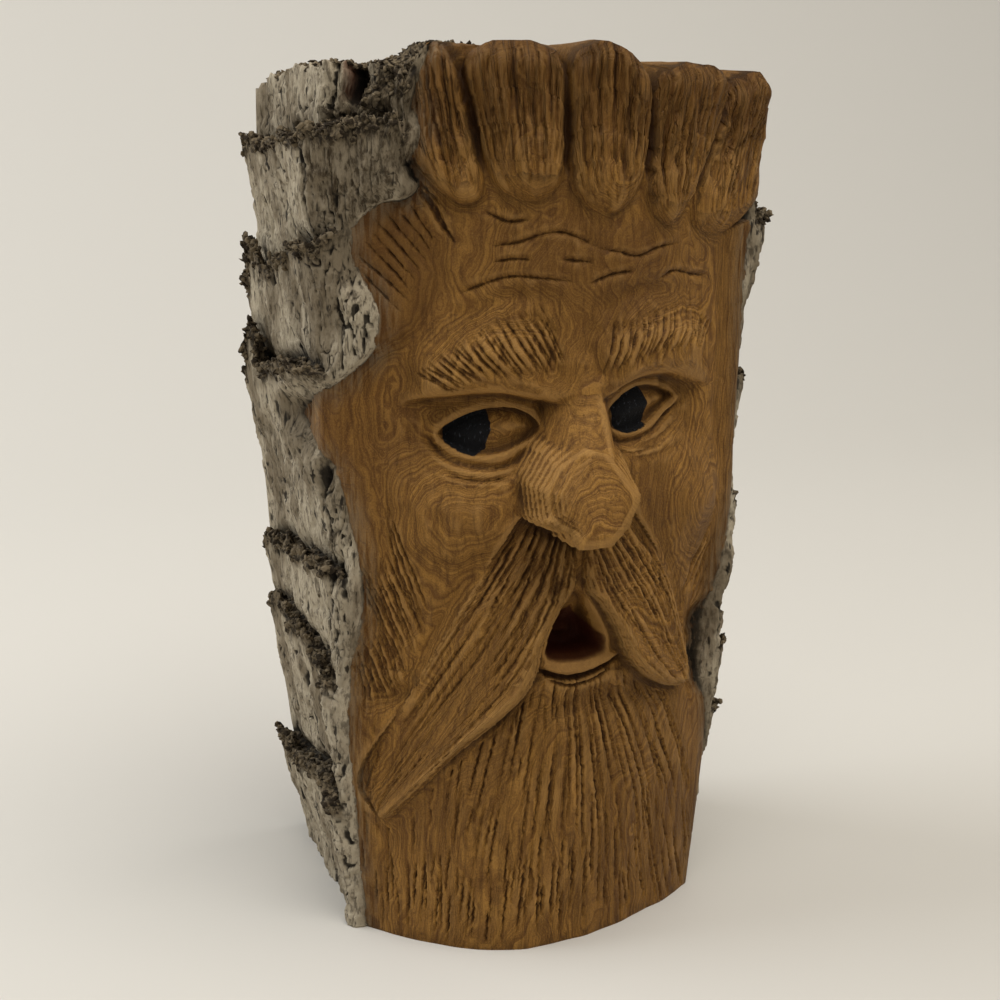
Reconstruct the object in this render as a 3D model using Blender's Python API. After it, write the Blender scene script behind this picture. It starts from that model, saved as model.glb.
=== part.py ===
"""A wood spirit: a bearded forest face carved into the outer ridge of a thick slab of tree bark.

The slab stands upright on its sawn base. Its left and right sides are natural bark with stepped ledges, its
back is the plain inner face of the bark, and its top is sawn off across the hair. The front is carved in
layers: five locks of hair over a creased forehead, bushy brows, two eyes that look aside, a big nose, round
cheeks, a long drooping moustache round an open mouth, and a beard that runs down to the base.

The carving is drawn on a plan that is unrolled from the slab: a is the way round it in plan millimetres,
0 on the face's centre line and growing to the right, and z is the height. Relief is pushed out or cut in
square to the slab's smooth surface. The plan is then scaled to the real sizes below, in millimetres.
"""

import bpy
import numpy as np

HEIGHT = 234.4
WIDTH = 132.0
DEPTH = 97.0
METRES_PER_MM = 0.001
MOST_TRIANGLES = 9400

PLAN_TOP = 236.0
PLAN_FOOT = 1.6
PLAN_WIDTH = 132.0
PLAN_DEPTH = 97.0
PLAN_STEP = 1.1
WOOD_COLOUR = (0.262, 0.127, 0.045, 1.0)
WOOD_ROUGHNESS = 0.7

# The slab's sections, in plan millimetres. x grows to the right, y to the back.
BACK_Y = 42.0
SECTION_Z = np.array([0, 45, 90, 135, 180, PLAN_TOP])
LEFT_CORNER_X = np.array([-44.5, -47, -49, -51, -51, -50.0])
LEFT_CORNER_Y = np.array([-28, -28, -27, -26, -24, -22.0])
LEFT_BACK_X = np.array([-44.5, -50, -53.5, -55, -54.5, -54.0])
RIDGE_X = np.array([-4, 2, 8, 12, 14, 16.0])
RIDGE_Y = np.array([-55, -56, -56, -55, -52, -50.0])
RIGHT_CORNER_X = np.array([51, 56, 62, 64.5, 67.5, 74.0])
RIGHT_CORNER_Y = np.array([-30, -28, -26, -25, -22, -20.0])
RIGHT_BACK_X = np.array([50, 53, 60, 64, 68, 73.0])
FACE_X = np.array([7, 8, 9.5, 11, 12, 12.0])

# The plan's columns, from the slab's left back edge round the front to its right back edge.
FIRST_COLUMN = -140.0
LAST_COLUMN = 134.0
BACK_COLUMNS = 34

# Heights on the plan: the hair's lowest ends, the middle of the forehead, and the foot of the lower lip.
HAIR_FOOT = 196.0
FOREHEAD = 184.0
LIP_FOOT = 76.0

# Heights and depths of the relief, in plan millimetres.
FACE_SET_BACK = 3.8
FOREHEAD_HEIGHT = 1.4
BROW_HEIGHT = 3.6
SOCKET_DEPTH = 3.4
CHEEK_HEIGHT = 3.8
BEARD_SET_BACK = 2.4
MOUSTACHE_SET_BACK = 3.0
MOUSTACHE_RIM = 4.6
MOUTH_DEPTH = 11.0
LIP_HEIGHT = 2.6
LOCK_SET_BACK = 3.8
LOCK_HEIGHT = 4.6
LOCK_SLOPE = 0.85
BARK_SET_BACK = 1.6
CRUST_HEIGHT = 2.2
STRAND_WIDTH = 2.4
STRAND_DEPTH = 1.3

# The top: how far it lies below the plan's top from left to right, the seams between the locks, the hollow
# broken out of its left end, and the deep crack that opens below that on the left side.
TOP_X = [-60, -44, -36, -30, -24, 18, 27, 45, 75]
TOP_DROP = [5.5, 4.5, 5, 4, 0, 0.5, 4.5, 6, 8]
SIDE_Y = [-25, -10, 10, 30, 42]
SIDE_DROP = [4.5, 6, 8, 11, 15]
REAR_X = [-44, -20, 4, 24]
REAR_DROP = [7, 8, 4, 0]
LOCK_SEAMS = (-45, -32.5, -4.5, 21.3, 52, 84)
ARC_DEPTH = 3.8
SEAM_DEPTH = 3.6
SEAM_HALF_WIDTH = 2.8
CHAMFER = 5.5
CRACK_A = -60
CRACK_FOOT = 221
CRACK_DEPTH = 11
CRACK_HALF_WIDTH = 3.6
CAP_RINGS = (0.97, 0.93, 0.86, 0.75, 0.6, 0.4, 0.2)
CAP_MIDDLE = np.array([10.0, -5.0])


def between(values, z):
    """A smooth curve through the section values, read at height z."""
    i = np.clip(np.searchsorted(SECTION_Z, z, side="right") - 1, 0, len(SECTION_Z) - 2)
    span = SECTION_Z[i + 1] - SECTION_Z[i]
    slope = np.gradient(values, SECTION_Z)
    t = (z - SECTION_Z[i]) / span
    start = (2 * t**3 - 3 * t**2 + 1) * values[i] + (t**3 - 2 * t**2 + t) * span * slope[i]
    end = (3 * t**2 - 2 * t**3) * values[i + 1] + (t**3 - t**2) * span * slope[i + 1]
    return start + end


def outline(z, count=900):
    """The slab's smooth section at height z: a closed round-cornered curve, from the face's centre line."""
    left, left_y = between(LEFT_CORNER_X, z), between(LEFT_CORNER_Y, z)
    right, right_y = between(RIGHT_CORNER_X, z), between(RIGHT_CORNER_Y, z)
    ridge, ridge_y = between(RIDGE_X, z), between(RIDGE_Y, z)
    left_back, right_back = between(LEFT_BACK_X, z), between(RIGHT_BACK_X, z)

    guide = [(left_back, BACK_Y)] * 2
    for t in (1 / 3, 2 / 3, 1, 1):
        guide.append((left_back + (left - left_back) * t, BACK_Y + (left_y - BACK_Y) * t))
    for t in (0.8, 0.5, 0.22, 0):
        guide.append((ridge + (left - ridge) * t, ridge_y + (left_y - ridge_y) * t**1.9))
    for t in (0.22, 0.5, 0.8):
        guide.append((ridge + (right - ridge) * t, ridge_y + (right_y - ridge_y) * t**1.9))
    for t in (0, 0, 1 / 3, 2 / 3, 1, 1):
        guide.append((right + (right_back - right) * t, right_y + (BACK_Y - right_y) * t))
    guide += [(right_back / 3, BACK_Y), (left_back / 3, BACK_Y)]
    guide = np.array(guide)

    at = np.arange(count) / count * len(guide)
    i = at.astype(int)
    t = (at - i)[:, None]
    a, b, c, d = (guide[(i + shift) % len(guide)] for shift in (-1, 0, 1, 2))
    curve = (1 - t) ** 3 * a + (3 * t**3 - 6 * t**2 + 4) * b
    curve = (curve + (-3 * t**3 + 3 * t**2 + 3 * t + 1) * c + t**3 * d) / 6
    from_face = np.where(curve[:, 1] < -10, np.abs(curve[:, 0] - between(FACE_X, z)), 1e9)
    return np.roll(curve, -int(np.argmin(from_face)), axis=0)


def rounded(points, closed=False, parts=5):
    """A smooth line through a few hand-set points."""
    points = np.array(points, float)
    if closed:
        padded = np.vstack([points[-1:], points, points[:2]])
    else:
        padded = np.vstack([2 * points[0] - points[1], points, 2 * points[-1] - points[-2]])
    line = []
    for a, b, c, d in zip(padded, padded[1:], padded[2:], padded[3:]):
        for t in np.arange(parts) / parts:
            line.append(b + 0.5 * t * (c - a + t * (2 * a - 5 * b + 4 * c - d + t * (3 * (b - c) + d - a))))
    line.append(padded[-2])
    return np.array(line)


def ease(low, high, value):
    t = np.clip((value - low) / (high - low), 0, 1)
    return t * t * (3 - 2 * t)


def noise(x, y, seed):
    """Smooth noise from 0 to 1."""
    lattice = np.random.default_rng(seed).random((64, 64))
    i, j = np.floor(x).astype(int), np.floor(y).astype(int)
    u, v = x - i, y - j
    u, v = u * u * (3 - 2 * u), v * v * (3 - 2 * v)
    low = lattice[i % 64, j % 64] * (1 - u) + lattice[(i + 1) % 64, j % 64] * u
    high = lattice[i % 64, (j + 1) % 64] * (1 - u) + lattice[(i + 1) % 64, (j + 1) % 64] * u
    return low * (1 - v) + high * v


class Plan:
    """The unrolled surface of the slab, with its relief in plan millimetres."""

    def __init__(self, columns, rows):
        self.columns = columns
        self.rows = rows
        self.a, self.z = np.meshgrid(columns, rows)
        self.relief = np.zeros_like(self.a)

    def near(self, line, reach):
        """The part of the plan within reach of a line."""
        low, high = line.min(axis=0) - reach, line.max(axis=0) + reach
        across = slice(np.searchsorted(self.columns, low[0]), np.searchsorted(self.columns, high[0]))
        up = slice(np.searchsorted(self.rows, low[1]), np.searchsorted(self.rows, high[1]))
        return up, across

    def distance(self, line, part=(slice(None), slice(None))):
        """The distance to a line, and how far along the line its nearest point is, from 0 to 1."""
        a, z = self.a[part], self.z[part]
        best = np.full(a.shape, 1e9)
        along = np.zeros(a.shape)
        for i, (start, end) in enumerate(zip(line, line[1:])):
            way = end - start
            length = max(way @ way, 1e-9)
            t = np.clip(((a - start[0]) * way[0] + (z - start[1]) * way[1]) / length, 0, 1)
            gap = np.hypot(a - start[0] - t * way[0], z - start[1] - t * way[1])
            nearer = gap < best
            best[nearer] = gap[nearer]
            along[nearer] = (i + t[nearer]) / (len(line) - 1)
        return best, along

    def inside(self, points, reach=12.0, parts=5):
        """The distance inside a closed outline: above 0 within it, below 0 outside."""
        line = rounded(points, closed=True, parts=parts)
        part = self.near(line, reach)
        a, z = self.a[part], self.z[part]
        gap = self.distance(line, part)[0]
        within = np.zeros(a.shape, bool)
        for (a0, z0), (a1, z1) in zip(line, line[1:]):
            if z0 != z1:
                within ^= ((z0 > z) != (z1 > z)) & (a < (a1 - a0) * (z - z0) / (z1 - z0) + a0)
        depth = np.full(self.a.shape, -reach)
        depth[part] = np.where(within, gap, -gap)
        return depth

    def cut(self, points, width, depth, where=None, blunt=0.12):
        """Cuts a V groove along a line, shallow at both ends."""
        line = rounded(points)
        part = self.near(line, width)
        gap, along = self.distance(line, part)
        fade = np.clip(np.minimum(along, 1 - along) / blunt, 0, 1) ** 0.6
        groove = depth * fade * np.clip(1 - gap / (width / 2), 0, 1)
        if where is not None:
            groove = groove * where[part]
        self.relief[part] -= groove

    def ridge(self, points, width, height, blunt=0.2):
        """Raises a soft ridge along a line."""
        line = rounded(points)
        part = self.near(line, 2.5 * width)
        gap, along = self.distance(line, part)
        fade = np.clip(np.minimum(along, 1 - along) / blunt, 0, 1) ** 0.7
        self.relief[part] += height * fade * np.exp(-((gap / width) ** 2))

    def bump(self, a, z, across, up, height):
        """Raises a round mound, or hollows it where the height is below 0."""
        self.relief += height * np.exp(-(((self.a - a) / across) ** 2) - ((self.z - z) / up) ** 2)

    def lay(self, inside, surface, soft):
        """Lays a surface over the relief within an outline, with an edge that is soft wide."""
        share = ease(0, soft, inside)
        self.relief += (surface - self.relief) * share


# The outline of each carved form on the plan, as (a, z).
BARK_EDGE = [
    (-36, 240), (-41, 231), (-43.5, 226), (-41, 217), (-45, 209), (-42.5, 203), (-46, 199), (-53, 197.5),
    (-60, 190), (-59.5, 184), (-57, 179), (-53, 171), (-54, 165), (-55.5, 160), (-64, 152.5), (-75, 147),
    (-84, 142), (-80, 138.5), (-71, 134), (-65, 128), (-62, 118), (-59.5, 106), (-58.5, 95), (-60, 84),
    (-62.5, 74), (-63, 64), (-62, 50), (-60.5, 38), (-60, 28), (-59, 14), (-57, -4),
]
RIGHT_BARK_EDGE = [
    (76, 240), (73, 215), (68, 200), (64, 188), (63, 170), (64, 150), (65, 130), (63, 110), (60, 95),
    (57, 84), (55, 72), (55, 60), (56, 48), (56, 36), (54, 18), (52, -4),
]
HAIR_LOCKS = [
    [
        (-47, 252), (-45.5, 228), (-46, 215), (-43, 206), (-37, 200), (-30, 197.5), (-26, 201), (-27, 212),
        (-31, 227), (-34, 252),
    ],
    [
        (-33.5, 252), (-30, 227), (-27, 212), (-24, 203), (-19, 199), (-13, 198), (-8, 200.5), (-5.2, 207),
        (-4.6, 228), (-5.5, 252),
    ],
    [
        (-3.5, 252), (-3.6, 228), (-4.2, 206), (-1.5, 198.5), (3, 195), (9, 194.5), (14, 198), (18, 205),
        (20.3, 226), (20.8, 252),
    ],
    [
        (22, 252), (21.3, 226), (19, 204), (20, 196), (24, 191.5), (29, 190.5), (35, 196), (42, 208),
        (48, 222), (53, 252),
    ],
    [
        (55, 252), (50, 224), (44, 208), (38, 199), (37, 191), (43, 187), (52, 186), (62, 188),
        (74, 196), (84, 252),
    ],
]
TEMPLE = [
    (-66, 188), (-61, 198), (-52, 203), (-44, 199), (-37, 191), (-34, 182), (-37, 172), (-45, 163),
    (-57, 159), (-65, 176),
]
LEFT_MOUSTACHE = [
    (-15, 121.5), (-21, 114), (-28, 103), (-35, 91), (-42, 79), (-50, 65), (-58, 53), (-61, 44), (-57, 37),
    (-51, 33.5), (-45, 39), (-38, 47), (-30, 56), (-21, 64), (-14, 71), (-10, 78), (-8.5, 86), (-5, 94),
    (0, 101), (0, 112), (-5, 118),
]
RIGHT_MOUSTACHE = [
    (17, 120), (24, 112.5), (30, 104.5), (35, 96.5), (40, 87.5), (43.5, 80), (44.5, 72), (42, 65),
    (35, 65.5), (28, 68.5), (20, 73.5), (14, 80), (10.5, 87), (6, 94), (1, 100.5), (1, 112), (8, 118),
]
MOUTH = [
    (1, 99.5), (-3, 96.5), (-6.5, 90), (-8.3, 84), (-7, 80.7), (0, 80), (6, 80.3), (10.5, 82),
    (9.5, 87), (6, 93),
]
LEFT_EYE = [
    (-38.5, 139.5), (-34, 144), (-28, 147), (-20, 147.7), (-14, 145), (-11.5, 141), (-17, 138),
    (-24, 136), (-31, 135.5),
]
RIGHT_EYE = [
    (7.3, 144), (11, 148.7), (17, 150.7), (24, 150), (30, 147.3), (34, 144.3), (28, 142), (21, 140),
    (13, 140),
]
# The nose: the kite of its flat front, the height of its bridge, and where the bridge's flat ends.
NOSE_KITE = [
    (1, 138.6), (-5.2, 132.6), (-9.0, 126.2), (-8.4, 121.8), (-5.2, 119.6), (-3.4, 115.8), (2, 115.6),
    (6.6, 120.3), (8.4, 126.2), (6.8, 131.2), (4.4, 136),
]
NOSE_FOOT, NOSE_ROOT = 108.0, 153.0
BRIDGE_Z = [124, 130, 138, 145, 149, NOSE_ROOT]
BRIDGE_HEIGHT = [11, 8.8, 4.8, 1.4, -1.0, -3.4]
BRIDGE_LEFT, BRIDGE_RIGHT = 0.0, 4.4
NOSE_BLEND = 0.6
BROW_LEDGE = [
    (-52, 146), (-44, 149), (-34, 150.5), (-22, 151), (-11, 149.3), (0, 147.8), (9, 150), (18, 152.8),
    (30, 152.8), (42, 149.5), (52, 146),
]
# The bark's ledges: points along each top edge, and how far it stands out.
LEFT_LEDGES = [
    ([(-54, 220), (-61, 222), (-69, 218), (-105, 214), (-136, 209)], 6.0),
    ([(-50, 198), (-61, 192), (-69, 188), (-100, 178), (-136, 167)], 5.0),
    ([(-64, 152), (-69, 157), (-101, 152), (-136, 142)], 6.5),
    ([(-66, 103), (-81, 102), (-112, 98), (-136, 91)], 3.0),
    ([(-72, 70), (-80, 74), (-100, 78), (-121, 78), (-136, 73)], 4.0),
    ([(-56, 28), (-59, 32), (-68, 43), (-113, 33), (-136, 31)], 5.5),
]
RIGHT_LEDGES = [
    ([(64, 188), (95, 195), (130, 203)], 6.5),
    ([(64, 147), (95, 150), (130, 156)], 3.5),
    ([(61, 113), (95, 118), (130, 122)], 3.5),
    ([(56, 72), (95, 80), (130, 84)], 1.5),
    ([(54, 50), (95, 56), (130, 60)], 4.0),
]


def bark(plan, edge, ledges, side):
    """Natural bark beyond an edge: stepped ledges that stand out at their tops and sink back below."""
    line = rounded(edge)
    gap = plan.distance(line)[0]
    beyond = side * (plan.a - np.interp(plan.z, line[::-1, 1], line[::-1, 0])) > 0
    mask = np.where(beyond, gap, -gap)
    surface = 0.3 - (BARK_SET_BACK + 0.3) * ease(2, 14, mask)
    surface += 1.8 * (noise(plan.a / 9, plan.z / 14, 3) - 0.5)
    surface += 1.2 * (noise(plan.a / 3, plan.z / 5, 4) - 0.5)
    below = np.full(plan.a.shape, 1e9)
    rise = np.zeros(plan.a.shape)
    for edge_points, out in ledges:
        path = np.array(sorted(edge_points))
        top = np.interp(plan.a, path[:, 0], path[:, 1])
        top += 3.0 * (noise(plan.a / 6, 0 * plan.a + out, 5) - 0.5)
        drop = top - plan.z
        under = (drop > 0) & (drop < below)
        below[under] = drop[under]
        rise[under] = (out * np.exp(-((np.abs(drop) / 26) ** 1.5)) * ease(0, 1.2, drop))[under]
    rise = rise * ease(0.5, 6, mask)
    crust = np.exp(-((below / 4.0) ** 2)) * (noise(plan.a / 2.2, plan.z / 2.2, 6) - 0.35)
    plan.lay(mask, surface + rise + CRUST_HEIGHT * crust, 1.6)
    return mask


def furrow(plan):
    """The deep crack that opens at the top of the left side, beside the hair."""
    wander = CRACK_A + 3 * (noise(plan.z / 8, 0 * plan.z, 9) - 0.5)
    across = np.exp(-(((plan.a - wander) / CRACK_HALF_WIDTH) ** 2))
    plan.relief -= CRACK_DEPTH * across * ease(CRACK_FOOT, CRACK_FOOT + 10, plan.z)


def carve(plan):
    """The whole relief, from the broad forms to the grooves."""
    a, z = plan.a, plan.z

    # The face is cut back below the hair and above the beard.
    face = ease(HAIR_FOOT + 4, HAIR_FOOT, z) * ease(LIP_FOOT - 16, LIP_FOOT, z)
    face = face * ease(-66, -52, a) * ease(66, 54, a)
    plan.relief -= FACE_SET_BACK * face
    plan.bump(0, FOREHEAD, 40, 11, FOREHEAD_HEIGHT)
    plan.ridge([(-44, 153), (-34, 158), (-22, 161), (-10, 157)], 6.5, BROW_HEIGHT)
    plan.ridge([(5, 157), (16, 162), (30, 162), (46, 156)], 6.5, BROW_HEIGHT)
    plan.bump(0, 155, 9, 7, 1.2)

    # Sockets under the sharp brow ledge.
    line = rounded(BROW_LEDGE)
    below = np.interp(a, line[:, 0], line[:, 1]) - z
    reach = ease(-52, -38, a) * ease(52, 38, a) * (1 - 0.75 * np.exp(-((a / 8) ** 2)))
    plan.relief -= SOCKET_DEPTH * reach * ease(-0.4, 1.6, below) * (1 - ease(10, 22, below))
    for eye in (LEFT_EYE, RIGHT_EYE):
        inside = plan.inside(eye)
        plan.relief += 0.7 * np.exp(-(((inside + 1.3) / 1.1) ** 2))
        plan.relief += ease(-0.3, 0.6, inside) * (-2.4 + 2.9 * ease(0, 6.5, inside))

    # Cheeks.
    plan.bump(-33, 119, 16, 10, 1.15 * CHEEK_HEIGHT)
    plan.bump(-47, 105, 11, 10, 0.42 * CHEEK_HEIGHT)
    plan.bump(43, 117, 13, 12, 1.25 * CHEEK_HEIGHT)

    # Nose: a narrow bridge, one flat kite-shaped front, steep whittled sides and a foot cut under.
    kite = plan.inside(NOSE_KITE, 20, 1)
    front = 13.4 - 0.40 * np.clip(z - 118.5, -2, 40) - 0.12 * np.clip(118.5 - z, 0, 6)
    steep = 1.7 + 0.7 * ease(133, 124, z) + 2.6 * ease(119.5, 115.5, z)
    facets = front + 0.08 * np.minimum(kite, 4) - steep * np.clip(-kite - 0.15, 0, 30)
    to_left, to_right = np.clip(BRIDGE_LEFT - a, 0, 30), np.clip(a - BRIDGE_RIGHT, 0, 30)
    bridge = np.interp(z, BRIDGE_Z, BRIDGE_HEIGHT) - 0.25 * to_left - 0.06 * to_left**2 - 1.7 * to_right
    nowhere = -12.0
    nose = np.maximum(facets, np.where(z > BRIDGE_Z[0], bridge, nowhere))
    nose = np.where((np.abs(a) < 24) & (z > NOSE_FOOT) & (z < NOSE_ROOT), nose, nowhere)
    plan.relief = NOSE_BLEND * np.logaddexp(plan.relief / NOSE_BLEND, nose / NOSE_BLEND)

    # Beard, set back under the lip and flush with the slab lower down.
    beard = ease(79, 72, z) * ease(-64, -58, a) * ease(60, 52, a)
    plan.relief += beard * (-BEARD_SET_BACK * ease(40, 74, z) - plan.relief * ease(66, 76, z))
    plan.relief += beard * 0.7 * (noise(a / 7, z / 60, 11) - 0.5)
    plan.relief -= 3.5 * ease(44, 52, a) * ease(56, 64, z) * ease(88, 80, z)

    # Moustache: deep at its root and upper edge, proud at its lower edge.
    for outer, sign in ((LEFT_MOUSTACHE, -1), (RIGHT_MOUSTACHE, 1)):
        inside = plan.inside(outer, 20)
        lower = rounded(outer[outer.index(min(outer, key=lambda point: point[1])):])
        gap = plan.distance(lower)[0]
        surface = -MOUSTACHE_SET_BACK - 3.0 * np.exp(-(((z - 121) / 15) ** 2))
        surface += MOUSTACHE_RIM * np.exp(-((gap / 9) ** 2)) * ease(118, 90, z)
        surface += 1.6 * np.exp(-(((sign * a - 24) / 13) ** 2) - ((z - 84) / 20) ** 2)
        surface -= 2.0 * (1 - ease(0, 2.6, inside)) * ease(12, 5, gap)
        plan.lay(inside, surface, 1.6)
    plan.relief = np.maximum(plan.relief, np.where(z > 114.5, nose, nowhere))

    # Mouth and lower lip.
    inside = plan.inside(MOUTH)
    plan.relief -= MOUTH_DEPTH * ease(-0.3, 2.6, inside) * (0.36 + 0.64 * ease(98, 88, z))
    plan.ridge([(-11, 80.5), (-5, 77.8), (2, 77), (9, 78.7), (15, 81)], 1.5, LIP_HEIGHT)
    plan.cut([(-11, 78), (-4, 75.3), (2, 74.7), (9, 76), (15.5, 78.6)], 2.6, 2.6)

    # Hair locks, each a rounded pillow, and the hair of the temple.
    for number, lock in enumerate(HAIR_LOCKS):
        inside = plan.inside(lock)
        pillow = 1 - (1 - np.clip(inside / (5.5 if number == 0 else 8.0), 0, 1)) ** 2
        plan.lay(inside, LOCK_HEIGHT * pillow - LOCK_SET_BACK, 0.8)
    over = np.clip(z - PLAN_TOP + CHAMFER, 0, CHAMFER) * ease(-46, -40, a) * ease(82, 76, a)
    plan.relief -= LOCK_SLOPE * over
    inside = plan.inside(TEMPLE)
    plan.lay(inside, 0.3 - 0.19 * np.clip(a + 60, 0, 30), 5.0)

    left = bark(plan, BARK_EDGE, LEFT_LEDGES, -1)
    right = bark(plan, RIGHT_BARK_EDGE, RIGHT_LEDGES, 1)
    furrow(plan)
    return left, right


def grooves(plan, carved):
    """The knife work that shows from a step away: strands of hair, brow tufts, creases, beard grooves."""
    draw = np.random.default_rng(7)
    for lock in HAIR_LOCKS:
        inside = ease(0.3, 2.5, plan.inside(lock))
        points = np.array(lock)
        foot = points[points[:, 1] < np.sort(points[:, 1])[3] + 0.5].mean(axis=0)
        top = points[points[:, 1] > 225]
        spread = (points[:, 0].max() - points[:, 0].min()) * 0.40
        for share in np.linspace(-0.85, 0.85, 5):
            start = (top[:, 0].mean() + share * spread, PLAN_TOP + 2)
            middle = ((start[0] + foot[0] + share * spread * 0.8) / 2, (start[1] + foot[1]) / 2)
            end = (foot[0] + share * spread * 0.6, foot[1] + 2 + 5 * share**2 + draw.uniform(0, 3))
            plan.cut([start, middle, end], STRAND_WIDTH, STRAND_DEPTH, inside)

    beard = carved * ease(LIP_FOOT + 1, LIP_FOOT - 4, plan.z)
    for outer in (LEFT_MOUSTACHE, RIGHT_MOUSTACHE):
        beard = beard * ease(1.0, -1.0, plan.inside(outer, 20))
    for share in np.linspace(-1, 1, 31):
        a = share + draw.uniform(-0.02, 0.02)
        out = (46 if a > 0 else 57) * a
        path = [(0.22 * out + 1, 76), (0.50 * out + 1, 52), (0.84 * out + 1, 27), (out, draw.uniform(3, 9))]
        plan.cut(path, 1.08 * STRAND_WIDTH, 1.15 * STRAND_DEPTH, beard)

    for outer, sign in ((LEFT_MOUSTACHE, -1), (RIGHT_MOUSTACHE, 1)):
        inside = ease(0.3, 2.5, plan.inside(outer, 20))
        tip = (-54, 38) if sign < 0 else (41, 68)
        for share in np.linspace(0.08, 0.92, 7):
            root = (sign * (3 + 13 * share), 117 - 3 * share)
            belly = (14 + 20 * share, 86 + 10 * share)
            if sign < 0:
                belly = (-13 - 17 * share, 90 + 7 * share)
            end = (tip[0] * (1 - 0.12 * (1 - share)), tip[1] + 6 * (1 - share))
            plan.cut([root, belly, end], STRAND_WIDTH, STRAND_DEPTH, inside)

    creases = [
        [(-25, 187.5), (-18, 188.3), (-11, 190.5), (-5, 190.5), (4, 186.7)],
        [(4, 186.3), (10, 185.4), (16, 184), (24, 185.6), (32, 186)],
        [(-33, 175.5), (-27, 178), (-20, 180), (-12, 179.7), (-3, 178.7)],
        [(1, 178), (8, 180), (18, 180), (28, 179), (40, 177)],
        [(-43, 135), (-36, 131.5), (-28, 130.5), (-20, 132), (-13, 136)],
        [(9, 137), (16, 136.3), (25, 136.8), (36, 138.5)],
    ]
    tufts = []
    for share in np.linspace(0, 1, 9):
        tufts.append([(-42 + 30 * share, 157 + 14 * share), (-33 + 27 * share, 151.5 + 5 * share)])
        tufts.append([(8 + 34 * share, 155 + 3 * share), (11 + 38 * share, 169 - 3 * share)])
    for number in range(7):
        a, z = -58.5 + 2.3 * number, 179 + 2.5 * number
        tufts.append([(a, z), (a + 13, z - 11)])
        a, z = -62 + 2.3 * number, 84 + 5.5 * number
        tufts.append([(a, z), (a + 5, z - 10), (a + 10, z - 17)])
    seams = [
        [(-33, 240), (-29, 220), (-26.5, 205)],
        [(-4.6, 240), (-4.3, 220), (-4.8, 207)],
        [(21.4, 240), (20.6, 220), (19.2, 204)],
        [(54, 240), (46, 214), (38.5, 198)],
    ]
    for path in seams:
        plan.cut(path, 1.3 * STRAND_WIDTH, 2 * STRAND_DEPTH, None, 0.45)
    for path in creases + tufts:
        plan.cut(path, 0.92 * STRAND_WIDTH, STRAND_DEPTH, carved)


def softened(relief):
    """The relief with its sharpest steps eased, as a hand tool leaves them."""
    for axis in (0, 1):
        padded = np.concatenate([relief.take([0], axis), relief, relief.take([-1], axis)], axis)
        before, after = (padded.take(range(k, k + relief.shape[axis]), axis) for k in (0, 2))
        relief = 0.5 * relief + 0.25 * (before + after)
    return relief


def crown(x, y):
    """The height of the top at a point: sawn flat, lower to the right, broken at the left."""
    drop = np.interp(x, TOP_X, TOP_DROP)
    side = ease(-26, -44, x)
    rear = ease(-22, 2, y) * np.interp(x, REAR_X, REAR_DROP)
    return PLAN_TOP - drop - (1 - side) * rear - side * (np.interp(y, SIDE_Y, SIDE_DROP) - drop)


def notches(a):
    """How far the top's front edge is below the sawn top: facets for each lock, a V cut at each seam."""
    down = 0 * a
    for low, high in zip(LOCK_SEAMS, LOCK_SEAMS[1:]):
        place = np.clip(2 * (a - low) / (high - low) - 1, -1, 1)
        down = down + ARC_DEPTH * np.clip((np.abs(place) - 0.35) / 0.65, 0, 1) * ((a >= low) & (a < high))
    for seam in LOCK_SEAMS[1:-1]:
        down = down + SEAM_DEPTH * np.clip(1 - np.abs(a - seam) / SEAM_HALF_WIDTH, 0, 1)
    return down


def surface():
    """The finished surface as rows of points round the slab, bottom to top, in plan millimetres."""
    front = np.arange(FIRST_COLUMN, LAST_COLUMN, PLAN_STEP)
    rows = np.linspace(PLAN_FOOT, PLAN_TOP, int(PLAN_TOP / PLAN_STEP))
    plan = Plan(front, rows)
    left, right = carve(plan)
    carved = ease(0.5, -1.5, left) * ease(0.5, -1.5, right)
    grooves(plan, carved)
    relief_rows = softened(plan.relief)

    rings = []
    for row, z in enumerate(rows):
        curve = outline(z)
        loop = np.vstack([curve, curve[:1]])
        way = np.r_[0, np.cumsum(np.hypot(*np.diff(loop, axis=0).T))]
        back = np.linspace(LAST_COLUMN, way[-1] + FIRST_COLUMN, BACK_COLUMNS + 2)[1:-1]
        at = np.r_[front, back]
        point = np.array([np.interp(at % way[-1], way, loop[:, k]) for k in (0, 1)])
        ahead = np.array([np.interp((at + 4) % way[-1], way, loop[:, k]) for k in (0, 1)])
        behind = np.array([np.interp((at - 4) % way[-1], way, loop[:, k]) for k in (0, 1)])
        along = ahead - behind
        out = np.array([along[1], -along[0]]) / np.hypot(*along)
        relief = np.r_[relief_rows[row], np.zeros(BACK_COLUMNS)]
        relief = relief * ease(BACK_Y, BACK_Y - 9, point[1])
        point = point + out * relief
        top = crown(point[0], point[1]) - notches(at)
        height = z + (top - PLAN_TOP) * ease(PLAN_TOP - 46, PLAN_TOP, z)
        rings.append(np.stack([point[0], point[1], height], axis=1))
    return np.array(rings), np.r_[front, np.full(BACK_COLUMNS, LAST_COLUMN)]


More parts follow.
